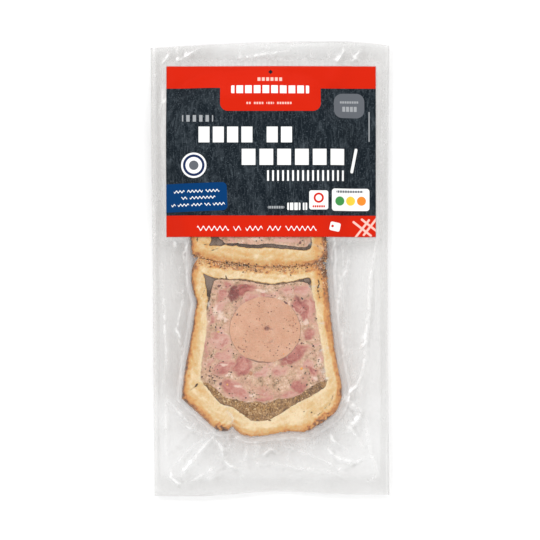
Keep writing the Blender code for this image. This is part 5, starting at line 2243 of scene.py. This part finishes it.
@dataclass
class Studio:
    """Floor, lights and camera."""

    floor_level: float = -0.0002
    floor_side: float = 6.0
    camera_height: float = 1.6
    photo_side: float = 0.297
    subject_height: float = 0.003
    sensor: float = 36.0
    look_at: tuple[float, float] = (0.0, -0.00055)
    sees_to: float = 20.0
    sky: float = 0.72
    lamps: tuple[Lamp, ...] = (
        Lamp("key", (-0.9, 0.9, 1.5), 0.5, 11.0), Lamp("fill", (1.3, -0.3, 1.3), 0.9, 5.0),
        Lamp("low_key", (-0.3, -1.4, 0.8), 0.8, 5.0), Lamp("high_key", (0.3, 1.4, 0.8), 0.8, 6.0),
    )

    def build(self) -> None:
        """Builds the studio."""
        self.floor()
        self.camera()
        for lamp in self.lamps:
            lamp.build()
        world = bpy.data.worlds.new("sky")
        world.use_nodes = True
        world.node_tree.nodes["Background"].inputs["Color"].default_value = (1.0, 1.0, 1.0, 1.0)
        world.node_tree.nodes["Background"].inputs["Strength"].default_value = self.sky
        bpy.context.scene.world = world
        bpy.context.scene.view_settings.view_transform = "Standard"

    def floor(self) -> None:
        """The pale table."""
        half, level = self.floor_side / 2 / MM, self.floor_level / MM
        corners = np.array([[-half, -half, level], [half, -half, level], [half, half, level],
                            [-half, half, level]])
        MeshWork.build("floor", corners, [[0, 1, 2, 3]], {}, False, FloorFinish().material)

    def camera(self) -> None:
        """The camera, straight above the pack with the label's end up."""
        data = bpy.data.cameras.new("camera")
        data.sensor_width = self.sensor
        data.lens = self.sensor * (self.camera_height - self.subject_height) / self.photo_side
        data.clip_end = self.sees_to
        made = link("camera", data)
        made.location = (*self.look_at, self.camera_height)
        bpy.context.scene.camera = made


def main() -> None:
    """Builds the contents, the film, the label and the studio."""
    logging.basicConfig(level=logging.INFO, format="%(message)s")
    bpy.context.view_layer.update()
    Studio().build()
    SharedEffects().build()
    form = PackForm()
    finishes = {Layer.CRUST: CrustFinish(), Layer.JELLY: JellyFinish(), Layer.FORCEMEAT: ForcemeatFinish(),
                Layer.MOUSSE: MousseFinish()}
    lower = SliceForm(form, -1, 3, LOWER_EDGES, 4.2, LOWER_CRACKS, HAM_PIECES)
    upper = SliceForm(form, 1, 4, UPPER_EDGES, 1.5, UPPER_CRACKS, UPPER_HAM_PIECES, browned=0.07)
    contents = Slice(lower, "lower_slice", finishes).build() + Slice(upper, "upper_slice", finishes).build()
    contents += Garnish([lower, upper]).build()
    film = Pouch(form, FilmFinish()).build()
    label = Label(form, LabelFinish()).build()
    for piece in contents:
        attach(piece, BODY)
        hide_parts("pouch")
        crusty = "crust" in piece.name or "crumbs" in piece.name
    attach(film, BODY)
    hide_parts("pouch")
    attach(label, BODY)
    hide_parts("label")
    for piece in (*contents, film, label):
        piece.data.calc_loop_triangles()
        log.info("%s: %d triangles", piece.name, len(piece.data.loop_triangles))


if __name__ == "__main__":
    main()
